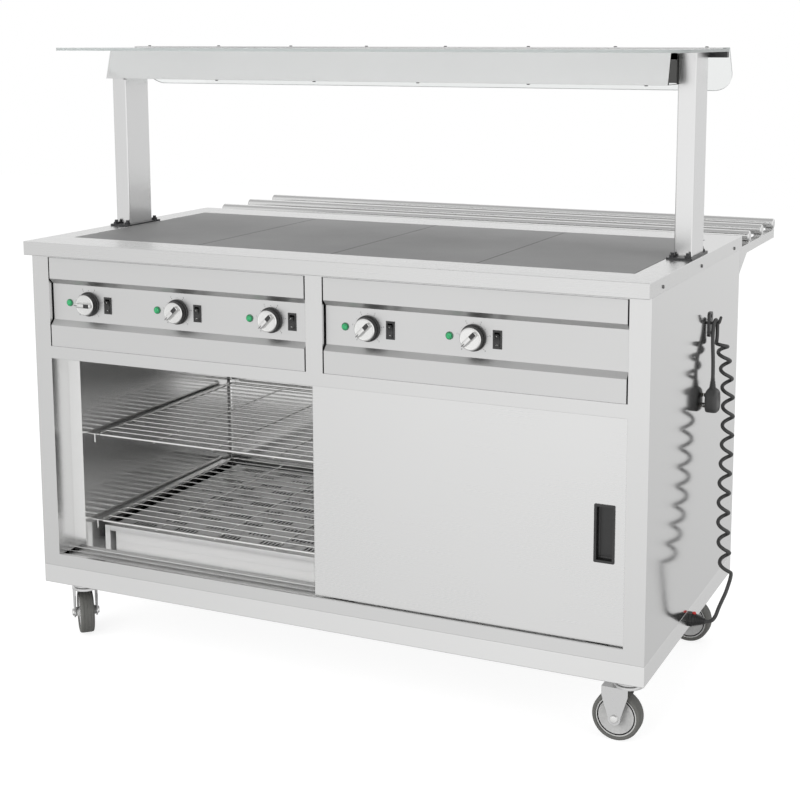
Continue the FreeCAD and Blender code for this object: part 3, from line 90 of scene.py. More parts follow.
# a point on the lamp hood's front, back, under its top and at its mouth, and the way in from it;
# past all four lies the painted shade inside the hood
HOOD_PLANES = (((0, 231, 1284), (0, 64, -19)), ((0, 395, 1284), (0, -1, 0)),
               ((0, 231, 1345), (0, 0, -1)), ((0, 231, 1284), (0, 0, 1)))
# the slotted cover's front and underside bound a painted shade on the liner below it
SHADE_FRONT, SHADE_TOP = 122.25, 252.0     # the slotted cover's front and underside
# tones of painted shade: on the liner under the slotted cover, and inside the lamp hood
COVER_SHADE_TONE, HOOD_SHADE_TONE = (0.07, 0.065, 0.06), (0.12, 0.12, 0.117)
# the cord's route: out of the gland and up to the coil, then over the hook and down to the plug
LEAD_ROUTE = (
    (742.0, 335.0, 166.0), (753.0, 335.0, 166.0), (762.0, 338.0, 178.0),
    (766.0, 344.0, 194.0), (771.0, 353.0, 209.0), (776.0, 363.0, 223.0),
    (779.5, 370.0, 238.0), (783.0, 374.0, 253.0),
)
HOOK_ROUTE = (
    (722.0, 450.0, 752.0), (722.0, 450.0, 766.0), (722.0, 450.0, 781.9),
    (720.0, 446.0, 789.4), (720.3, 436.0, 789.4), (718.3, 432.0, 781.9),
    (719.1, 421.0, 750.0), (726.6, 403.0, 707.0), (726.6, 403.0, 667.0),
)
COIL_LINE = ((732.0, 450.0), (770.0, 455.0), (735.0, 425.0), (772.0, 379.0))
COIL_HEIGHTS = (738.5, 263.0)
COIL_TURNS, COIL_CLOSING, COIL_STEPS = 12.5, 0.7, 14
GLAND = (708.0, 335.0, 166.0)
PLUG = (727.1, 403.0, 626.0)
PLUG_DEPTH = 13.5                 # half of the shell's thickness
PINS = (708.6, 714.4)             # x of the pins' tips and of their roots in the shell

EYE, EYE_DOWN, EYE_TURN = (1.46325, -3.164, 1.374), 8.80, 24.14    # metres and degrees
LENS, SHIFT = 67.79, (-0.05, -0.16)
# each soft lamp's place and what it faces, its width, all in metres, and its power
SOFTBOXES = {
    "key": ((-2.6, -4.2, 3.4), (0.0, -0.3, 0.7), 2.6, 70.0),
    "side": ((4.4, -1.2, 2.6), (0.2, 0.0, 0.7), 2.2, 40.0),
    "top": ((0.2, 0.2, 4.6), (0.0, 0.0, 0.9), 2.6, 50.0),
    "fill": ((-0.5, -3.3, 0.75), (-0.3, 0.0, 0.5), 1.5, 45.0),
}


def row(points):
    """Cabinet millimetres to the frame's metres."""
    return (np.asarray(points, float) - MIDDLE) / 1000.0


def unit(degrees):
    """The cosine and the sine of an angle."""
    return math.cos(math.radians(degrees)), math.sin(math.radians(degrees))


def add(name, data):
    """Puts a new object into the scene."""
    made = bpy.data.objects.new(name, data)
    bpy.context.scene.collection.objects.link(made)
    return made


# ------------------------------------------------------------------ what a user would change
def size(name, text, default):
    return bpy.props.FloatProperty(name=name, description=text, default=default,
                                   unit="LENGTH", precision=4)


def shade(name, text, default):
    return bpy.props.FloatVectorProperty(name=name, description=text, default=default,
                                         subtype="COLOR", size=3, min=0.0, max=1.0)


class TrolleySizes(bpy.types.PropertyGroup):
    cord: size("Cord", "Thickness of the mains cord", 0.008)
    coil: size("Coil", "Radius of the curly cord's turns, to the middle of the cord", 0.011)
    knob: size("Knob", "Radius of a thermostat knob's skirt", 0.027)
    wheel: size("Wheel", "Radius of a castor wheel", 0.050)
    plug: size("Plug", "Width of the mains plug", 0.050)
    edge: size("Edge", "Rounding of the folded sheet metal's edges", 0.0009)


class TrolleyColours(bpy.types.PropertyGroup):
    steel: shade("Steel", "Cabinet sheet", (0.70, 0.70, 0.697))
    gantry: shade("Gantry", "Lamp housing and posts", (0.73, 0.73, 0.73))
    liner: shade("Liner", "Inside of the cupboard", (0.86, 0.86, 0.855))
    tile: shade("Tile", "Heated tiles", (0.165, 0.165, 0.165))
    wire: shade("Wire", "Shelf wires", (0.86, 0.86, 0.85))
    zinc: shade("Zinc", "Castor forks", (0.66, 0.66, 0.66))
    black: shade("Black", "Switches, pulls and gland", (0.018, 0.018, 0.018))
    cord: shade("Cord", "Cord and plug", (0.045, 0.045, 0.045))
    tyre: shade("Tyre", "Castor tyres", (0.105, 0.105, 0.098))
    hub: shade("Hub", "Castor hubs", (0.42, 0.42, 0.415))
    lamp: shade("Lamp", "Indicator lamps", (0.008, 0.22, 0.075))
    glass: shade("Glass", "Shelf and visor", (0.96, 0.975, 0.97))
    ground: shade("Ground edge", "The glass's narrow edges", (0.46, 0.49, 0.485))


# ------------------------------------------------------------------ finishes
def put(tree, kind, attrs=None, **sockets):
    """Adds a node. A socket is named with _ for a space, or by number as _0; a socket's value
    is a number, a colour or the output to link to it."""
    node = tree.nodes.new(kind)
    for key, value in (attrs or {}).items():
        setattr(node, key, value)
    for key, value in sockets.items():
        socket = node.inputs[int(key[1:])] if key[0] == "_" else node.inputs[key.replace("_", " ")]
        if isinstance(value, bpy.types.NodeSocket):
            tree.links.new(value, socket)
        else:
            socket.default_value = value
    return node


def field(tree, scale, stretch=(1.0, 1.0, 1.0), detail=3.0, offset=(0.0, 0.0, 0.0)):
    """Noise in the object's own metres; a small stretch along an axis draws it out that way."""
    place = put(tree, "ShaderNodeTexCoord").outputs["Object"]
    place = put(tree, "ShaderNodeMapping", Vector=place, Scale=stretch, Location=offset)
    return put(tree, "ShaderNodeTexNoise", Vector=place.outputs[0], Scale=scale, Detail=detail,
               Roughness=0.55).outputs[0]


def span(tree, value, low, high, start=0.38, stop=0.62):
    """value, from start to stop, carried over to low to high. Noise keeps mostly between the
    usual start and stop."""
    return put(tree, "ShaderNodeMapRange", Value=value, From_Min=start, From_Max=stop,
               To_Min=low, To_Max=high).outputs[0]


def maths(tree, operation, a, b):
    """One step of arithmetic on two numbers or outputs."""
    return put(tree, "ShaderNodeMath", {"operation": operation}, _0=a, _1=b).outputs[0]


def along_way(tree, place, way):
    """How far a place lies along a way, from the origin."""
    return put(tree, "ShaderNodeVectorMath", {"operation": "DOT_PRODUCT"}, _0=place,
               _1=tuple(way)).outputs["Value"]


def both(tree, a, b, share):
    """share of a and the rest of b, for two numbers."""
    rest = maths(tree, "MULTIPLY", b, 1.0 - share)
    return put(tree, "ShaderNodeMath", {"operation": "MULTIPLY_ADD"}, _0=a, _1=share,
               _2=rest).outputs[0]


def tint(tree, amount, a, b):
    """The colour a where amount is 0 and b where it is 1."""
    return put(tree, "ShaderNodeMix", {"data_type": "RGBA"}, _0=amount, _6=a, _7=b).outputs[2]


def rgba(colour, by=1.0):
    return tuple(min(1.0, c * by) for c in colour) + (1.0,)


def blank(name):
    material = bpy.data.materials.new(name)
    material.use_nodes = True
    material.node_tree.nodes.clear()
    return material, material.node_tree


def close(tree, surface):
    tree.links.new(surface, put(tree, "ShaderNodeOutputMaterial").inputs["Surface"])


def darken(material, amount, colour):
    """Carries a finish's own colour over to another where amount is 1."""
    tree = material.node_tree
    base = next(n for n in tree.nodes if n.type == "BSDF_PRINCIPLED").inputs["Base Color"]
    tree.links.new(tint(tree, amount, base.links[0].from_socket, rgba(colour)), base)


def worked(name, colour, contrast=0.08, rough=(0.2, 0.3), metallic=0.0, fine=300.0,
           stretch=(1.0, 1.0, 1.0), broad=6.0, lift=0.15, depth=0.0002, edge=0.0, **sockets):
    """A finish with a fine pattern, drawn out along the grain, and broad clouds of wear. Both
    shift the colour and the roughness; the fine one also lifts the surface. Constants for the
    shader's other sockets come last."""
    material, tree = blank(name)
    grain = field(tree, fine, stretch, 4.0)
    clouds = field(tree, broad, (1.0, 1.0, 1.0), 3.0, (3.1, 1.7, 0.4))
    mixed = both(tree, grain, clouds, 0.55)
    base = tint(tree, span(tree, mixed, 0.0, 1.0), rgba(colour, 1.0 - contrast),
                rgba(colour, 1.0 + contrast))
    shine = span(tree, both(tree, clouds, grain, 0.6), *rough)
    bump = put(tree, "ShaderNodeBump", Strength=lift, Distance=depth, Height=grain)
    if edge:
        soft = put(tree, "ShaderNodeBevel", {"samples": 4}, Radius=edge)
        tree.links.new(soft.outputs[0], bump.inputs["Normal"])
    shader = put(tree, "ShaderNodeBsdfPrincipled", Base_Color=base, Metallic=metallic,
                 Roughness=shine, Normal=bump.outputs[0])
    for key, value in sockets.items():
        shader.inputs[key.replace("_", " ")].default_value = value
    close(tree, shader.outputs[0])
    return material


def steel(name, colour, along="X", rough=(0.21, 0.27), contrast=0.007, edge=0.0009):
    """Brushed stainless sheet, its grain drawn out along one axis."""
    stretch = [1.0, 1.0, 1.0]
    stretch["XYZ".index(along)] = 0.006
    return worked(name, colour, contrast, rough, 1.0, 700.0, tuple(stretch), broad=2.2,
                  lift=0.006, depth=0.00005, edge=edge)


def clear_glass(name, colour, ground, normal_axis):
    """Toughened sheet glass: its faces clear and wiped with faint smears, its narrow edges
    ground and pale green-grey. normal_axis is the sheet's own normal."""
    material, tree = blank(name)
    smear = field(tree, 7.0, (1.0, 0.4, 1.0), 2.0)
    normal = put(tree, "ShaderNodeNewGeometry").outputs["True Normal"]
    facing = maths(tree, "ABSOLUTE", along_way(tree, normal, normal_axis), 0.0)
    face = maths(tree, "GREATER_THAN", facing, 0.6)
    base = tint(tree, face, rgba(ground), rgba(colour))
    rough = maths(tree, "ADD", span(tree, face, 0.3, 0.01, 0.0, 1.0),
                  span(tree, smear, 0.0, 0.03, 0.5, 0.75))
    clear = span(tree, face, 0.25, 1.0, 0.0, 1.0)
    shader = put(tree, "ShaderNodeBsdfPrincipled", Base_Color=base, Roughness=rough, IOR=1.5,
                 Transmission_Weight=clear)
    close(tree, shader.outputs[0])
    return material


def dress(material, *names):
    """Gives CAD nodes a finish through their own material slots."""
    for name in names:
        slots = NODES[name].data.materials
        for k in range(len(slots)):
            slots[k] = material
        if not slots:
            slots.append(material)


# ------------------------------------------------------------------ surfaces
def quads(rows, columns, wrap):
    """Corner numbers of the cells of a grid of rows by columns; wrap joins the last column to
    the first."""
    a = np.arange(rows * columns).reshape(rows, columns)
    right = np.roll(a, -1, axis=1) if wrap else a[:, 1:]
    a = a if wrap else a[:, :-1]
    return np.stack([a[:-1], right[:-1], right[1:], a[1:]], axis=-1).reshape(-1, 4)


def turned(profile, columns=64, wave=None):
    """A profile of (along, radius) pairs turned about the first axis: the point at angle t is
    (along, r cos t, r sin t), where wave(t) may add to each r."""
    profile = np.asarray(profile, float)
    t = np.arange(columns) * 2 * np.pi / columns
    r = np.repeat(profile[:, 1:], columns, axis=1)
    if wave is not None:
        r = r + wave(np.arange(len(profile))[:, None], t[None, :])
    along = np.repeat(profile[:, :1], columns, axis=1)
    points = np.stack([along, r * np.cos(t), r * np.sin(t)], axis=-1)
    return points.reshape(-1, 3), quads(len(profile), columns, True)


def smooth_profile(corners, radius=0.8, steps=4):
    """A polyline of (along, radius) pairs with each inner corner rounded: near a corner the
    line follows a quadratic from one side to the other."""
    p = np.asarray(corners, float)
    before, after = p[:-2] - p[1:-1], p[2:] - p[1:-1]
    lb = np.linalg.norm(before, axis=1, keepdims=True)
    la = np.linalg.norm(after, axis=1, keepdims=True)
    reach = np.minimum(radius, 0.45 * np.minimum(lb, la))
    a, b = p[1:-1] + before / lb * reach, p[1:-1] + after / la * reach
    s = np.linspace(0, 1, steps + 1)[None, :, None]
    bends = (1 - s) ** 2 * a[:, None] + 2 * s * (1 - s) * p[1:-1, None] + s ** 2 * b[:, None]
    return np.concatenate([p[:1], bends.reshape(-1, 2), p[-1:]])


def along_axes(points, centre, axis, side, up):
    """Points given along three axes, moved to a centre, all in cabinet millimetres."""
    return np.asarray(centre, float) + points @ np.array([axis, side, up], float)


def join(parts):
    """Several (points, faces, material number) as one set."""
    points, faces, numbers, start = [], [], [], 0
    for p, f, number in parts:
        points.append(p)
        faces += [[int(v) + start for v in face] for face in f]
        numbers += [number] * len(f)
        start += len(p)
    return np.concatenate(points), faces, numbers


def piece(name, parts, materials, body, replaced=(), angle=38.0):
    """Makes one object of the parts: doubles at poles and seams are merged, faces turned
    outwards, edges sharper than the angle kept crisp. It rides on a body of the frame."""
    points, faces, numbers = join(parts)
    mesh = bpy.data.meshes.new(name)
    mesh.from_pydata(row(points).tolist(), [], faces)
    mesh.polygons.foreach_set("material_index", np.array(numbers, np.int32))
    work = bmesh.new()
    work.from_mesh(mesh)
    bmesh.ops.remove_doubles(work, verts=work.verts, dist=MERGE)
    bmesh.ops.dissolve_degenerate(work, edges=work.edges, dist=MERGE / 2)
    bmesh.ops.recalc_face_normals(work, faces=work.faces)
    work.to_mesh(mesh)
    work.free()
    mesh.polygons.foreach_set("use_smooth", np.ones(len(mesh.polygons), bool))
    mesh.set_sharp_from_angle(angle=math.radians(angle))
    for material in materials:
        mesh.materials.append(material)
    made = add(name, mesh)
    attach(made, body)
    if replaced:
        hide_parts(*replaced)
    return made


class Maker:
    """Shared by the operators: a plain undoable step in the sidebar."""
    bl_options = {"REGISTER", "UNDO"}

    def execute(self, context):
        self.make(context.scene.trolley_sizes, context.scene.trolley_colours)
        return {"FINISHED"}


# ------------------------------------------------------------------ the cord and what is on it
class TROLLEY_OT_cord(Maker, bpy.types.Operator):
    """Runs the curly mains cord from its gland, up the coil, over the hook and to the plug"""
    bl_idname = "trolley.cord"
    bl_label = "Mains cord"

    def route(self, radius):
        """Route points in metres. The coil's points lie on a helix that starts half a turn from
        +x at the top: its middle follows a cubic line, seen from above, and falls steadily once
        the first turn, t - c (1 - exp(-t / c)), is past."""
        t = np.arange(int(COIL_TURNS * COIL_STEPS) + 1)[::-1] / COIL_STEPS
        angle = np.pi + 2 * np.pi * t
        fallen = t - COIL_CLOSING * (1 - np.exp(-t / COIL_CLOSING))
        s = (fallen / fallen[0])[:, None]
        weights = np.hstack([(1 - s) ** 3, 3 * s * (1 - s) ** 2, 3 * s * s * (1 - s), s ** 3])
        high, low = COIL_HEIGHTS
        reach = radius * 1000.0 / math.cos(math.pi / COIL_STEPS)
        ring = np.stack([np.cos(angle), np.sin(angle)], axis=1)
        coil = np.hstack([weights @ np.array(COIL_LINE) + reach * ring, high + (low - high) * s])
        return row(np.concatenate([LEAD_ROUTE, coil, HOOK_ROUTE]))

    def make(self, sizes, colours):
        points = self.route(sizes.coil)
        curve = bpy.data.curves.new("mains_cord", "CURVE")
        curve.dimensions = "3D"
        line = curve.splines.new("NURBS")
        line.points.add(len(points) - 1)
        line.points.foreach_set("co", np.c_[points, np.ones(len(points))].ravel())
        line.order_u = 3
        line.use_endpoint_u = True
        curve.resolution_u = 5
        curve.bevel_depth = sizes.cord / 2
        curve.bevel_resolution = 3
        curve.use_fill_caps = True
        rubber = worked("cord rubber", colours.cord, 0.14, (0.42, 0.58), 0.0, 900.0, broad=30.0,
                        lift=0.25, depth=0.0003, Coat_Weight=0.12, Coat_Roughness=0.35)
        curve.materials.append(rubber)
        cord = add("mains_cord", curve)
        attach(cord, "cabinet")
        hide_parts("cord_lower", "cord_coil", "cord_upper")
        shell, pins = self.plug(sizes, colours)

    def plug(self, sizes, colours):
        """The plug's shell: at each height the section is a squared ellipse, |x/a|^4 + |y/b|^4
        = 1, whose half width b follows the plug's outline."""
        x, y, z = PLUG
        half = sizes.plug * 500.0
        heights = np.array([-25, -25, -24.6, -23, -19, -13, -5, 3, 8, 13, 17, 20, 22, 23.6,
                            24.8, 25.2])
        widths = half * np.array([0, 0.5, 0.62, 0.74, 0.88, 0.99, 1.0, 1.0, 0.97, 0.88, 0.74,
                                  0.6, 0.48, 0.38, 0.32, 0])
        depths = PLUG_DEPTH * np.array([0, 0.72, 0.85, 0.93, 0.98, 1, 1, 1, 1, 0.98, 0.94,
                                        0.86, 0.76, 0.66, 0.58, 0])
        lean = np.interp(heights, [10, 25], [0.0, -0.5])[:, None]
        t = np.arange(56) * 2 * np.pi / 56
        c, s = np.cos(t), np.sin(t)
        reach = (np.abs(c) ** 4 + np.abs(s) ** 4) ** -0.25
        grip = 1 - 0.05 * (np.cos(heights * 1.6) > 0.3) * ((heights > -8) & (heights < 9))
        shell = np.stack([x + lean + np.outer(depths, c * reach),
                          y + np.outer(widths * grip, s * reach),
                          z + np.repeat(heights[:, None], 56, axis=1)], axis=-1)
        boot = [(650, 0), (650, 7.4)]
        for k in range(5):
            r = 7.2 - 0.45 * k
            boot += [(651.5 + 3.4 * k, r), (653.3 + 3.4 * k, r - 0.2), (653.5 + 3.4 * k, r - 1.5),
                     (654.7 + 3.4 * k, r - 1.6)]
        boot += [(671, 5.2), (671.4, 4.4), (671.4, 0)]
        points, faces = turned(smooth_profile(boot, 0.3, 2), 40)
        boot_at = points[:, [1, 2, 0]] + (HOOK_ROUTE[-1][0], y, 0.0)
        parts = [(shell.reshape(-1, 3), quads(len(heights), 56, True), 0), (boot_at, faces, 0)]
        black = worked("plug rubber", colours.cord, 0.12, (0.38, 0.5), 0.0, 700.0, broad=25.0,
                       lift=0.2, depth=0.0002)
        shell = piece("mains_plug", parts, [black], "cabinet", ["plug"])
        # painted shade: the pins are given a dark colour for the shade they stand in between the
        # plug and the panel
        pin = worked("pin metal", (0.10, 0.095, 0.085), 0.12, (0.3, 0.42), 0.6, 600.0,
                     (0.02, 1.0, 1.0), 20.0)
        blades = [self.blade(*PINS, y + dy, z + dz, w / 2, h / 2)
                  for dy, dz, w, h in ((0, 9, 4, 8), (-11.1, -13, 6.3, 4), (11.1, -13, 6.3, 4))]
        pins = piece("plug_pins", blades, [pin], "cabinet")
        return shell, pins

    def blade(self, x0, x1, y, z, w, h):
        """A flat pin along x with chamfered tip: rectangles carried from the tip to the shell."""
        along = np.array([x0, x0, x0 + 1.2, x1, x1])
        grow = np.array([0, 0.72, 1, 1, 0])
        corner = np.array([(-1, -0.8), (-0.8, -1), (0.8, -1), (1, -0.8), (1, 0.8), (0.8, 1),
                           (-0.8, 1), (-1, 0.8)])
        p = np.stack([np.repeat(along[:, None], 8, axis=1), y + np.outer(grow, corner[:, 0] * w),
                      z + np.outer(grow, corner[:, 1] * h)], axis=-1)
        return p.reshape(-1, 3), quads(5, 8, True), 0


class TROLLEY_OT_gland(Maker, bpy.types.Operator):
    """Makes the cord's ribbed, tapering gland on the side panel, with its small red catch"""
    bl_idname = "trolley.gland"
    bl_label = "Cord gland"

    def make(self, sizes, colours):
        """Two turned profiles: a six-sided nut, whose radius grows towards six corners, and a
        body with ribs that get smaller towards the cord."""
        x, y, z = GLAND
        nut = smooth_profile([(0, 0), (0, 15.2), (0.4, 15.8), (6, 15.8), (7, 14.8), (7, 0)], 0.5)
        nut_points, nut_faces = turned(nut, 72, lambda k, t: np.where(
            (k > 3) & (k < len(nut) - 4), -1.2 + 1.2 * np.cos(6 * t), 0.0))
        ribs = [(6, 0), (6, 13.6), (9, 13.6)]
        for k in range(6):
            r = 13.6 - 1.05 * k
            ribs += [(10.4 + 3.4 * k, r), (12.2 + 3.4 * k, r - 0.3), (12.5 + 3.4 * k, r - 1.9),
                     (13.7 + 3.4 * k, r - 2.0)]
        ribs += [(33, 6.4), (34, 5.2), (34, 0)]
        points, faces = turned(smooth_profile(ribs, 0.4, 2), 48)
        black = worked("gland plastic", colours.black, 0.3, (0.35, 0.5), 0.0, 500.0,
                       broad=30.0, lift=0.15)
        parts = [(nut_points + (x, y, z), nut_faces, 0), (points + (x, y, z), faces, 0)]
        piece("gland_body", parts, [black], "cabinet", ["cable_gland"])
        cap = smooth_profile([(0, 0), (0, 4.2), (3.4, 4.0), (4.2, 3.2), (4.4, 0)], 0.5)
        points, faces = turned(cap, 32)
        spot = points[:, [1, 2, 0]] + (x + 9.5, y, z + 12.2)
        red = worked("catch red", (0.55, 0.02, 0.015), 0.1, (0.3, 0.42), 0.0, 400.0)
        piece("gland_catch", [(spot, faces, 0)], [red], "cabinet")


# ------------------------------------------------------------------ controls
class TROLLEY_OT_knobs(Maker, bpy.types.Operator):
    """Makes the five thermostat knobs: black skirt and fluted side, satin face, raised grip"""
    bl_idname = "trolley.knobs"
    bl_label = "Thermostat knobs"

    def grip(self, turn):
        """The raised bar across the face: along its length s from -1 to 1 the section is a
        rounded hump, half width w and height h, both falling at the ends as 1 - s^8."""
        s = np.linspace(-1, 1, 25)
        v = np.linspace(0, np.pi, 15)
        fall = np.clip(1 - np.abs(s) ** 8, 0.0, 1.0)[:, None] ** 0.5
        narrow = 1 - 0.12 * np.sin(v)[None, :] ** 2
        across = 5.6 * fall * narrow * np.sign(np.cos(v)) * np.abs(np.cos(v)) ** 0.45
        rise = -6.2 - 9.4 * fall * np.abs(np.sin(v)) ** 0.42
        length = np.repeat(s[:, None] * 21.0, len(v), axis=1)
        c, k = unit(turn)
        points = np.stack([length * c - across * k, rise, length * k + across * c], axis=-1)
        floor = points[:, [0, -1]]
        floor[..., 1] = -5.9
        return [(points.reshape(-1, 3), quads(len(s), len(v), False)),
                (floor.reshape(-1, 3), quads(len(s), 2, False))]

    def mark(self, turn, x0, x1, half):
        """A dark flat block on the grip's top, from x0 to x1 along it, half wide to each side of
        its middle line.
        """
        c, k = unit(turn)
        a = np.array([(x0, -half), (x1, -half), (x1, half), (x0, half)])
        flat = np.stack([a[:, 0] * c - a[:, 1] * k, np.full(4, -15.5),
                         a[:, 0] * k + a[:, 1] * c], axis=1)
        return np.concatenate([flat, flat + (0, -0.22, 0)]), BOX_FACES

    def make(self, sizes, colours):
        r = sizes.knob * 1000.0
        satin = worked("knob satin", (0.80, 0.80, 0.79), 0.05, (0.12, 0.24), 1.0, 500.0,
                       broad=60.0, lift=0.06, depth=0.0001)
        dark = worked("knob skirt", (0.02, 0.02, 0.02), 0.3, (0.25, 0.4), 0.0, 500.0,
                      broad=60.0)
        skirt = smooth_profile([(11.2, 0), (11.2, r - 0.4), (10.6, r), (8.2, r), (7.2, r - 1.0),
                                (7.0, 20), (7.0, 0)], 0.5)
        body = smooth_profile([(7.4, 0), (7.4, 24.6), (5.0, 24.6), (-4.2, 23.3), (-5.8, 21.8),
                               (-6.2, 21.0), (-5.9, 19.5), (-5.9, 8.0), (-5.9, 0)], 0.7)
        low, high = body[:, 0] > 6.4, body[:, 0] < -4.6
        fluted = ~(low | high)
        edge = int(np.argmax(body[:, 0] < -4.9))
        shaft = [(12.9, 0), (12.9, 3.0), (11.0, 3.0), (11.0, 0)]
        for k, start in enumerate(CONTROL_STARTS):
            at = (start + KNOB_AT, 0.0, CONTROL_HEIGHT)
            side = turned(body[:edge], 144, lambda i, t: np.where(
                fluted[i], -0.45 * np.abs(np.sin(18 * t)), 0.0))
            rings = [turned(skirt, 72), side, turned(body[edge - 1:], 144), turned(shaft, 24)]
            parts = [(p[:, [1, 0, 2]] + at, f, n) for (p, f), n in zip(rings, (1, 1, 0, 1))]
            parts += [(p + at, f, 0) for p, f in self.grip(GRIP_TURNS[k])]
            # the pointer's thin inlay near the pointing end, and a wide dark block at the other
            # end that is a painted shadow of the grip
            for x0, x1, half in ((11.0, 20.2, 0.6), (-18.5, -5.0, 4.2)):
                points, faces = self.mark(GRIP_TURNS[k], x0, x1, half)
                parts.append((points + at, faces, 1))
            piece(f"knob_{k + 1}_turned", parts, [satin, dark], f"knob_{k + 1}",
                  [f"knob_{k + 1}"])


class TROLLEY_OT_rockers(Maker, bpy.types.Operator):
    """Makes the five switch rockers, hollowed from end to end and marked for on and off"""
    bl_idname = "trolley.rockers"
    bl_label = "Switch rockers"

    def make(self, sizes, colours):
        """The face is y = m - 3.5 s^2 at height 12.6 s for s from -1 to 1, with m at its
        middle; the closed outline is carried across x and tilted nine degrees on its pin."""
        black = worked("rocker black", colours.black, 0.2, (0.16, 0.26), 0.0, 300.0,
                       broad=40.0, lift=0.08)
        ink = worked("rocker ink", (0.55, 0.55, 0.53), 0.08, (0.4, 0.5), 0.0, 300.0)
        s = np.linspace(-1, 1, 17)
        face = np.stack([9.4 - 3.5 * s ** 2, 12.6 * s], axis=1)
        back = np.array([(7.0, 13.0), (13.0, 11.8), (18.8, 5.0), (18.8, -5.0), (13.0, -11.8),
                         (7.0, -13.0)])
        loop = np.concatenate([face, back])
        across = np.array([-5.15, -5.15, -4.75, 4.75, 5.15, 5.15])
        shrink = np.array([0.0, 0.975, 1.0, 1.0, 0.975, 0.0])
        centre = np.array([11.0, 0.0])
        c, k = unit(ROCKER_TILT)

        def tilted(p, at):
            y, z = p[..., 1] - ROCKER_AXIS, p[..., 2]
            return np.stack([p[..., 0] + at, ROCKER_AXIS + y * c - z * k,
                             CONTROL_HEIGHT + y * k + z * c], axis=-1).reshape(-1, 3)

        body = centre + shrink[:, None, None] * (loop - centre)
        body = np.concatenate([np.repeat(across[:, None, None], len(loop), axis=1), body],
                              axis=2)
        t = np.linspace(0, 2 * np.pi, 24, endpoint=False)
        reach, rise = np.array([1.1, 1.5, 1.5, 1.1, 1.1]), np.array([0, 0, 0.5, 0.5, 0])
        ring = np.stack([np.outer(reach, np.cos(t)),
                         np.repeat(ROCKER_MARK + rise[:, None], 24, axis=1),
                         -9.4 + np.outer(reach, np.sin(t))], axis=-1)
        bar = np.array([(x, y, z) for y in (ROCKER_MARK, 7.9) for x, z in (
            (-0.3, 7.7), (0.3, 7.7), (0.3, 11.0), (-0.3, 11.0))])
        for n, start in enumerate(CONTROL_STARTS):
            at = start + SWITCH_AT
            parts = [(tilted(body, at), quads(6, len(loop), True), 0),
                     (tilted(ring, at), quads(5, 24, True), 1),
                     (tilted(bar, at), BOX_FACES, 1)]
            piece(f"rocker_{n + 1}_face", parts, [black, ink], f"rocker_{n + 1}",
                  [f"rocker_{n + 1}"])


class TROLLEY_OT_lamps(Maker, bpy.types.Operator):
    """Makes the five green indicator lamps with their faceted lenses"""
    bl_idname = "trolley.lamps"
    bl_label = "Indicator lamps"

    def make(self, sizes, colours):
        """A turned dome whose radius and rise ripple with the angle, inside a plain rim."""
        green = worked("lamp green", colours.lamp, 0.35, (0.08, 0.16), 0.0, 900.0, broad=260.0,
                       lift=0.3, depth=0.0004, Emission_Color=rgba(colours.lamp, 1.4),
                       Emission_Strength=0.25, Coat_Weight=0.5, Coat_Roughness=0.08)
        rim = worked("lamp rim", (0.05, 0.16, 0.09), 0.2, (0.2, 0.35), 0.0, 300.0, broad=60.0)
        dome = [(10.4, 0), (10.4, 6.4), (9.2, 6.4), (8.2, 5.9), (7.6, 5.0), (7.2, 3.8),
                (7.05, 2.2), (7.0, 0)]
        ring = smooth_profile([(12.2, 0), (12.2, 8.2), (10.6, 8.2), (10.0, 7.6), (9.9, 6.6),
                               (10.6, 6.5), (10.6, 0)], 0.4)
        tail = [(36.0, 0), (36.0, 6.9), (12.0, 6.9), (12.0, 0)]
        parts = []
        for start in CONTROL_STARTS:
            at = (start + LAMP_AT, 0.0, CONTROL_HEIGHT)
            shapes = [turned(dome, 72, lambda i, t: np.where((i > 2) & (i < 7),
                                                             0.22 * np.cos(18 * t), 0.0)),
                      turned(ring, 48), turned(tail, 32)]
            parts += [(p[:, [1, 0, 2]] + at, f, n) for (p, f), n in zip(shapes, (0, 1, 1))]
        piece("indicator_lenses", parts, [green, rim], "cabinet",
              ["indicator_lamps"])


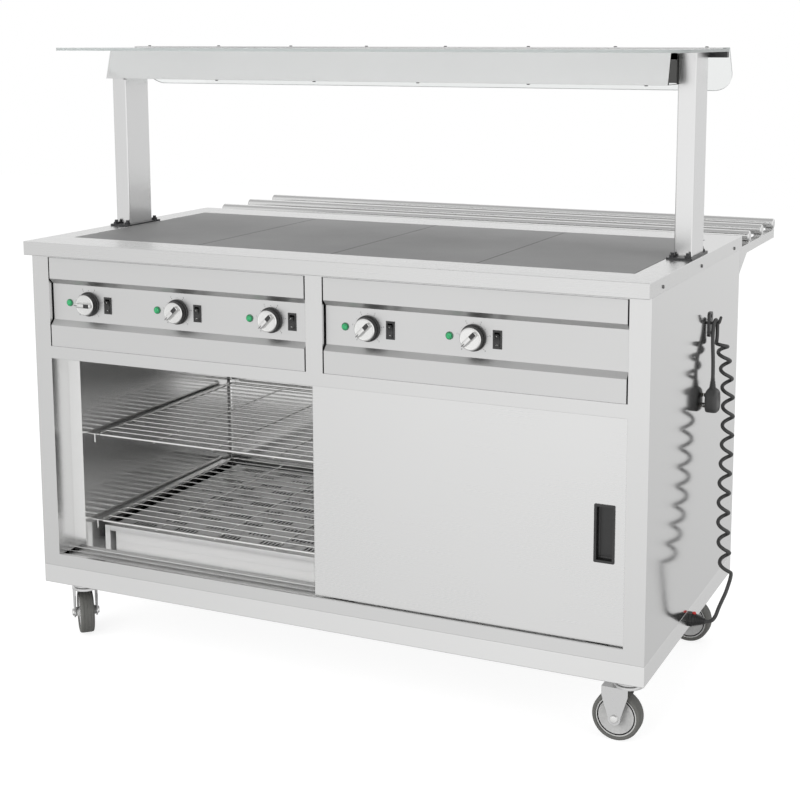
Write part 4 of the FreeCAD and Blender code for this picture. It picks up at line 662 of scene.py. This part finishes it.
class TROLLEY_OT_dials(Maker, bpy.types.Operator):
    """Prints the thermostats' ticks and numbers on the control panels"""
    bl_idname = "trolley.dials"
    bl_label = "Dial marks"

    def make(self, sizes, colours):
        """Ticks are thin bars at even angles round the dial, short and long by turns; a number
        stands outside each long one."""
        ink = worked("dial ink", (0.03, 0.03, 0.03), 0.3, (0.45, 0.6), 0.0, 300.0)
        y0, y1 = TROUGH - 0.12, TROUGH + 0.1
        parts = []
        for start in CONTROL_STARTS:
            cx, cz = start + KNOB_AT, CONTROL_HEIGHT
            for k in range(DIAL_MARKS):
                u = np.array(unit(DIAL_START - DIAL_STEP * k))
                side = 0.3 * np.array([-u[1], u[0]])
                outer = LONG_TICK if k % 2 == 0 else SHORT_TICK
                flat = [TICK_FOOT * u - side, outer * u - side, outer * u + side,
                        TICK_FOOT * u + side]
                box = np.array([(cx + p[0], y, cz + p[1]) for y in (y0, y1) for p in flat])
                parts.append((box, BOX_FACES, 0))
                if k % 2 == 0:
                    parts.append(self.number(str(k // 2), cx + NUMBER_AT * u[0],
                                             cz + NUMBER_AT * u[1], y0))
        piece("dial_marks", parts, [ink], "cabinet")

    def number(self, text, x, z, y):
        """A numeral as a thin mesh, standing upright on the panel about (x, z)."""
        curve = bpy.data.curves.new("numeral", "FONT")
        curve.body, curve.size = text, 4.4
        curve.align_x = curve.align_y = "CENTER"
        curve.extrude, curve.resolution_u = 0.1, 3
        holder = bpy.data.objects.new("numeral", curve)
        mesh = bpy.data.meshes.new_from_object(holder)
        p = np.zeros(len(mesh.vertices) * 3)
        mesh.vertices.foreach_get("co", p)
        p = p.reshape(-1, 3)
        faces = [list(f.vertices) for f in mesh.polygons]
        points = np.stack([p[:, 0] + x, y + 0.1 - p[:, 2], p[:, 1] + z], axis=1)
        bpy.data.objects.remove(holder)
        bpy.data.curves.remove(curve)
        bpy.data.meshes.remove(mesh)
        return points, faces, 0


# ------------------------------------------------------------------ castors
class TROLLEY_OT_wheels(Maker, bpy.types.Operator):
    """Makes the castors' tyres and hubs as turned shapes about their axles"""
    bl_idname = "trolley.wheels"
    bl_label = "Castor wheels"

    def make(self, sizes, colours):
        """Profiles of (along the axle, radius), mirrored about the wheel's middle plane."""
        rubber = worked("tyre rubber", colours.tyre, 0.12, (0.5, 0.66), 0.0, 260.0,
                        broad=30.0, lift=0.35, depth=0.0006)
        hub = worked("hub nylon", colours.hub, 0.07, (0.34, 0.46), 0.0, 260.0, broad=30.0,
                     lift=0.12)
        # painted highlight: the raised ring's lighter grey; painted shade: the groove's near black
        ring = worked("hub ring", (0.50, 0.50, 0.49), 0.06, (0.3, 0.4), 0.0, 260.0, broad=30.0)
        bright = worked("axle zinc", (0.80, 0.80, 0.79), 0.05, (0.15, 0.25), 1.0, 300.0,
                        broad=60.0)
        shadow = worked("hub groove", (0.03, 0.03, 0.03), 0.2, (0.5, 0.6), 0.0, 260.0)
        r = sizes.wheel * 1000.0
        side = [(13.4, r - 8.2), (15.4, r - 7.6), (16.0, r - 6.0), (16.0, r - 4.6),
                (15.4, r - 2.3), (14.0, r - 0.9), (11.6, r - 0.15), (8.2, r), (7.7, r - 0.7),
                (7.2, r - 0.7), (6.7, r)]
        half = np.array(side + [(0.45, r), (0.3, r - 0.5), (0.0, r - 0.5)])
        inner = np.array([(0.0, r - 8.2), (13.4, r - 8.2)])
        tread = np.concatenate([inner, half, (half * (-1, 1))[::-1][1:],
                                (inner * (-1, 1))[::-1]])
        # the third number picks the finish: 0 the hub, 1 its raised ring painted lighter as a
        # highlight, 2 its groove painted near black as the shade in it
        face = [(13.0, 42.0, 0), (13.0, 39.3, 1), (9.2, 39.2, 2), (9.2, 36.8, 2),
                (12.8, 36.6, 2), (13.0, 34.0, 0), (11.4, 30.0, 0), (11.0, 15.0, 0),
                (12.6, 12.0, 0), (21.5, 10.2, 0), (23.0, 9.4, 0), (23.0, 5.1, 0)]
        for name, (x, y, turn) in CASTORS.items():
            c, k = unit(turn)
            centre = (x + TRAIL * c, y + TRAIL * k, r)
            axle, out = (-k, c, 0), (c, k, 0)

            def placed(profile, columns, number, wave=None):
                p, f = turned(profile, columns, wave)
                return along_axes(p, centre, axle, out, (0, 0, 1)), f, number

            notch = placed(tread, 120, 0, lambda i, t: np.where(
                (i == 7) | (i == len(tread) - 8), -0.35 * (np.cos(60 * t) > 0), 0.0))
            piece(f"tyre_{name}", [notch], [rubber], f"wheel_{name}",
                  [f"castor_tyre_{name}"])
            parts = []
            for sign in (1, -1):
                for (u0, r0, _), (u1, r1, number) in zip(face, face[1:]):
                    parts.append(placed([(sign * u0, r0), (sign * u1, r1)], 72, number))
            parts.append(placed([(-13.0, 42.0), (13.0, 42.0)], 72, 0))
            parts.append(placed([(-23.0, 5.1), (23.0, 5.1)], 72, 0))
            piece(f"wheel_hub_{name}", parts, [hub, ring, shadow], f"wheel_{name}",
                  [f"castor_hub_{name}"])
            cap = smooth_profile([(AXLE_END - 0.2, 0), (AXLE_END - 0.2, 8.7),
                                  (AXLE_END + 2.6, 8.7), (AXLE_END + 4.3, 7.2),
                                  (AXLE_END + 4.6, 0)], 0.9)
            caps = [placed(cap * (sign, 1), 48, 0) for sign in (1, -1)]
            piece(f"axle_caps_{name}", caps, [bright], f"castor_{name}")


# ------------------------------------------------------------------ finishes of the frame's nodes
class TROLLEY_OT_cabinet(Maker, bpy.types.Operator):
    """Finishes the cabinet's sheet metal, the worktop, its tiles and the doors"""
    bl_idname = "trolley.cabinet"
    bl_label = "Cabinet"

    def make(self, sizes, colours):
        e = sizes.edge
        dress(steel("steel lengthways", colours.steel, "X", edge=e), "front_frame",
              "back_panel")
        dress(steel("satin panel", colours.steel, "X", (0.36, 0.42), edge=e), "control_panels")
        # painted highlight: the plinth's steel made lighter than the cabinet's for the way light
        # falls on its face
        lit_plinth = [1.16 * c for c in colours.steel]
        dress(steel("steel plinth", lit_plinth, "X", edge=e), "base_frame")
        dress(steel("steel worktop", colours.steel, "X", (0.22, 0.3), edge=e), "worktop")
        doors = [1.06 * c for c in colours.steel]
        dress(steel("steel doors", doors, "X", (0.24, 0.3), edge=e), "front_door", "rear_door",
              "door_tracks")
        dress(steel("steel side", colours.steel, "Y", (0.1, 0.15), edge=e), "side_panels")
        dress(worked("heated tile", colours.tile, 0.035, (0.42, 0.52), 0.0, 420.0, broad=3.0,
                     lift=0.08, depth=0.0002), "heated_tiles")
        seal = worked("tile seal", (0.05, 0.05, 0.05), 0.2, (0.5, 0.65), 0.0, 300.0)
        piece("tile_seals", [part for x in TILE_JOINTS for part in self.bead(x)], [seal],
              "cabinet")

    def bead(self, x):
        """A bead of sealant between two tiles: half an ellipse, 1.3 by 1.05, carried from the
        front of the tile well to its back and closed below."""
        u = np.linspace(0, np.pi, 7)
        v = np.array([WELL_FRONT, WELL_FRONT + 0.6, WELL_BACK - 0.6, WELL_BACK])
        rise = np.array([0.0, 1.0, 1.0, 0.0])
        points = np.stack([x + 1.3 * np.tile(np.cos(u), (4, 1)),
                           np.repeat(v[:, None], 7, axis=1),
                           SEAL_LEVEL + 1.05 * rise[:, None] * np.sin(u)], axis=-1)
        base = points[:, [0, -1]]
        return [(points.reshape(-1, 3), quads(4, 7, False), 0),
                (base.reshape(-1, 3), quads(4, 2, False), 0)]


class TROLLEY_OT_interior(Maker, bpy.types.Operator):
    """Finishes the inside of the cupboard, its shelves and its heating elements"""
    bl_idname = "trolley.interior"
    bl_label = "Cupboard interior"

    def under_cover_shade(self, tree):
        """1 where shade is painted on the sheet: below the slotted cover and behind its front."""
        _, front, top = row((0, SHADE_FRONT, SHADE_TOP))
        place = put(tree, "ShaderNodeTexCoord").outputs["Object"]
        place = put(tree, "ShaderNodeSeparateXYZ", Vector=place)
        behind = span(tree, place.outputs["Y"], 0.0, 1.0, front, front + 0.01)
        low = span(tree, place.outputs["Z"], 1.0, 0.0, top, top + 0.004)
        return maths(tree, "MULTIPLY", behind, low)

    def make(self, sizes, colours):
        liner = worked("liner steel", colours.liner, 0.012, (0.09, 0.15), 0.85, 500.0,
                       (1.0, 1.0, 0.01), 2.0, 0.02, 0.00005)
        # painted shade: the liner darkened below and behind the slotted cover
        darken(liner, self.under_cover_shade(liner.node_tree), COVER_SHADE_TONE)
        dress(liner, "inner_liner", "shelf_supports")
        cover = [0.8 * c for c in colours.liner]
        dress(worked("cover steel", cover, 0.012, (0.2, 0.28), 0.65, 500.0, (0.01, 1.0, 1.0),
                     2.0, 0.02, 0.00005), "element_cover")
        dress(worked("chromed wire", colours.wire, 0.06, (0.10, 0.2), 1.0, 300.0,
                     broad=20.0, lift=0.05), "wire_shelves")
        dress(worked("element sheath", (0.16, 0.15, 0.14), 0.2, (0.4, 0.6), 1.0, 300.0,
                     broad=30.0), "heating_elements")


class TROLLEY_OT_gantry(Maker, bpy.types.Operator):
    """Finishes the gantry: posts, lamp housing, heat lamps, glass and its fittings"""
    bl_idname = "trolley.gantry"
    bl_label = "Gantry"

    def hood_inside_shade(self, tree):
        """1 where shade is painted inside the hood: on what lies deeper than its skin behind each
        of its planes."""
        place = put(tree, "ShaderNodeTexCoord").outputs["Object"]
        depth = 1.0
        for point, way in HOOD_PLANES:
            way = np.array(way) / np.linalg.norm(way)
            past = maths(tree, "SUBTRACT", along_way(tree, place, way), float(row(point) @ way))
            depth = maths(tree, "MINIMUM", depth, past)
        return maths(tree, "GREATER_THAN", depth, INNER_SKIN)

    def make(self, sizes, colours):
        e = sizes.edge
        dress(steel("post steel", colours.gantry, "Z", (0.2, 0.26), edge=e), "gantry_posts")
        dress(steel("rail steel", colours.gantry, "X", (0.18, 0.26), edge=e), "visor_rail")
        hood = steel("hood steel", colours.gantry, "X", (0.18, 0.26), edge=e)
        # painted shade: the inside of the lamp hood darkened
        darken(hood, self.hood_inside_shade(hood.node_tree), HOOD_SHADE_TONE)
        dress(hood, "lamp_housing")
        dress(worked("lamp glass", (0.78, 0.76, 0.72), 0.05, (0.15, 0.25), 0.0, 300.0,
                     broad=40.0, Coat_Weight=0.4), "heat_lamps")
        tilt = math.radians(VISOR_TILT)
        dress(clear_glass("shelf glass", colours.glass, colours.ground, (0, 0, 1)), "top_glass")
        smoked = [0.93 * c for c in colours.glass]
        dress(clear_glass("visor glass", smoked, colours.ground,
                          (0, math.cos(tilt), math.sin(tilt))), "rear_visor")
        plate = worked("base plate black", (0.03, 0.03, 0.032), 0.25, (0.3, 0.45), 0.0, 400.0,
                       broad=25.0, lift=0.2)
        dress(plate, "post_bases", "visor_clamps")


class TROLLEY_OT_fittings(Maker, bpy.types.Operator):
    """Finishes the pulls, switch frames, tray slide, screws, forks and the cord's hook"""
    bl_idname = "trolley.fittings"
    bl_label = "Fittings"

    def make(self, sizes, colours):
        dress(worked("pull plastic", colours.black, 0.2, (0.28, 0.42), 0.0, 500.0, broad=25.0,
                     lift=0.15), "front_door_pull", "rear_door_pull", "switch_housings")
        dress(worked("case plastic", (0.42, 0.42, 0.40), 0.08, (0.4, 0.5), 0.0, 300.0,
                     broad=25.0), "thermostats")
        dress(steel("tube steel", colours.steel, "X", (0.16, 0.26), 0.03), "tray_rails")
        dress(steel("bracket steel", colours.steel, "Y", (0.2, 0.3), 0.03), "tray_brackets")
        zinc = worked("zinc plate", colours.zinc, 0.03, (0.26, 0.36), 1.0, 180.0, broad=30.0,
                      lift=0.06)
        dress(zinc, "castor_plates", *[f"castor_fork_{n}" for n in CASTORS])
        dress(worked("screw heads", (0.16, 0.16, 0.16), 0.15, (0.3, 0.4), 1.0, 400.0,
                     broad=60.0), "small_screws")
        dress(worked("hook black", (0.04, 0.04, 0.04), 0.2, (0.3, 0.45), 0.0, 400.0,
                     broad=40.0, lift=0.2), "cord_hook")


# ------------------------------------------------------------------ stage
class TROLLEY_OT_stage(Maker, bpy.types.Operator):
    """Sets the pale floor, the white surroundings, the soft lights and the camera"""
    bl_idname = "trolley.stage"
    bl_label = "Stage"

    def seen(self, tree, ray):
        """1 for what the camera sees, straight or through glass."""
        return maths(tree, "MAXIMUM", ray.outputs["Is Camera Ray"],
                     ray.outputs["Is Transmission Ray"])

    def floor(self):
        """A flat grid at z = 0, x and y each from -9 to 9 metres."""
        a = np.linspace(-9, 9, 7)
        x, y = np.meshgrid(a, a)
        points = np.stack([x, y, np.zeros_like(x)], axis=-1).reshape(-1, 3)
        mesh = bpy.data.meshes.new("floor")
        mesh.from_pydata(points.tolist(), [], quads(7, 7, False).tolist())
        made = add("floor", mesh)
        material, tree = blank("pale floor")
        ray = put(tree, "ShaderNodeLightPath")
        plain = put(tree, "ShaderNodeBsdfDiffuse", Color=(0.86, 0.86, 0.86, 1.0))
        glow = put(tree, "ShaderNodeEmission", Color=(1, 1, 1, 1), Strength=FLOOR_GLOW)
        part = maths(tree, "MULTIPLY", self.seen(tree, ray), FLOOR_SHARE)
        mixed = put(tree, "ShaderNodeMixShader", _0=part, _1=plain.outputs[0],
                    _2=glow.outputs[0])
        close(tree, mixed.outputs[0])
        made.visible_glossy = False
        mesh.materials.append(material)

    def steps(self, tree, value, stops):
        """A grey that runs from stop to stop; each stop is a place and its grey."""
        node = put(tree, "ShaderNodeValToRGB", _0=value)
        ramp = node.color_ramp
        while len(ramp.elements) < len(stops):
            ramp.elements.new(0.5)
        for element, (place, grey) in zip(ramp.elements, stops):
            element.position, element.color = place, (grey, grey, grey, 1.0)
        return node.outputs[0]

    def world(self):
        """White to the camera; a soft fall of light from front to side for gloss; plain light
        for everything else."""
        world = bpy.data.worlds.new("studio")
        bpy.context.scene.world = world
        world.use_nodes = True
        tree = world.node_tree
        tree.nodes.clear()
        ray = put(tree, "ShaderNodeLightPath")
        way = put(tree, "ShaderNodeTexCoord").outputs["Generated"]
        parts = put(tree, "ShaderNodeSeparateXYZ", Vector=way)
        across = span(tree, parts.outputs["X"], 0.87, 1.12, -0.6, -0.36)
        height = span(tree, parts.outputs["Z"], 0.0, 1.0, -1.0, 1.0)
        ahead = maths(tree, "MULTIPLY", across, self.steps(tree, height, FRONT_FALL))
        behind = maths(tree, "MULTIPLY", self.steps(tree, height, BACK_FALL), BACK_GLOSS)
        level = put(tree, "ShaderNodeMix", {"data_type": "FLOAT"},
                    _0=span(tree, parts.outputs["Y"], 0.0, 1.0, -0.3, 0.3), _2=ahead,
                    _3=behind).outputs[0]
        gloss, plain, white = (
            put(tree, "ShaderNodeBackground", Strength=strength, Color=(1, 1, 1, 1)).outputs[0]
            for strength in (level, PLAIN_LIGHT, 1.0))
        first = put(tree, "ShaderNodeMixShader", _0=ray.outputs["Is Glossy Ray"], _1=plain,
                    _2=gloss)
        last = put(tree, "ShaderNodeMixShader", _0=self.seen(tree, ray), _1=first.outputs[0],
                   _2=white)
        out = put(tree, "ShaderNodeOutputWorld")
        tree.links.new(last.outputs[0], out.inputs["Surface"])

    def softbox(self, name, at, to, size, power):
        """A square lamp at one point in metres that faces another."""
        light = bpy.data.lights.new(name, "AREA")
        light.shape, light.size, light.size_y = "RECTANGLE", size, size
        light.energy = power
        lamp = add(name, light)
        aim = np.array(to, float) - at
        pitch = math.atan2(math.hypot(aim[0], aim[1]), -aim[2])
        lamp.location = at
        lamp.visible_glossy = lamp.visible_transmission = False
        lamp.rotation_euler = (pitch, 0.0, math.atan2(-aim[0], aim[1]))

    def camera(self):
        data = bpy.data.cameras.new("photo view")
        data.sensor_width, data.lens = 36.0, LENS
        data.shift_x, data.shift_y = SHIFT
        eye = add("photo view", data)
        eye.location = EYE
        eye.rotation_euler = (math.radians(90.0 - EYE_DOWN), 0.0, math.radians(EYE_TURN))
        bpy.context.scene.camera = eye

    def make(self, sizes, colours):
        self.floor()
        self.world()
        for name, box in SOFTBOXES.items():
            self.softbox(name, *box)
        self.camera()
        bpy.context.scene.view_settings.view_transform = "Standard"


STEPS = (TROLLEY_OT_cord, TROLLEY_OT_gland, TROLLEY_OT_knobs, TROLLEY_OT_rockers,
         TROLLEY_OT_lamps, TROLLEY_OT_dials, TROLLEY_OT_wheels, TROLLEY_OT_cabinet,
         TROLLEY_OT_interior, TROLLEY_OT_gantry, TROLLEY_OT_fittings, TROLLEY_OT_stage)


class TROLLEY_PT_panel(bpy.types.Panel):
    """Lists the trolley's pieces, its sizes and its colours"""
    bl_idname = "TROLLEY_PT_panel"
    bl_label = "Serving trolley"
    bl_space_type = "VIEW_3D"
    bl_region_type = "UI"
    bl_category = "Trolley"

    def draw(self, context):
        for step in STEPS:
            self.layout.operator(step.bl_idname)
        for group in (context.scene.trolley_sizes, context.scene.trolley_colours):
            box = self.layout.box()
            for name in group.bl_rna.properties.keys():
                if name not in ("rna_type", "name"):
                    box.prop(group, name)


CLASSES = (TrolleySizes, TrolleyColours) + STEPS + (TROLLEY_PT_panel,)


def register():
    for cls in CLASSES:
        bpy.utils.register_class(cls)
    bpy.types.Scene.trolley_sizes = bpy.props.PointerProperty(type=TrolleySizes)
    bpy.types.Scene.trolley_colours = bpy.props.PointerProperty(type=TrolleyColours)


def unregister():
    del bpy.types.Scene.trolley_colours
    del bpy.types.Scene.trolley_sizes
    for cls in reversed(CLASSES):
        bpy.utils.unregister_class(cls)


def main():
    register()
    for step in STEPS:
        group, name = step.bl_idname.split(".")
        getattr(getattr(bpy.ops, group), name)()


if __name__ == "__main__":
    main()
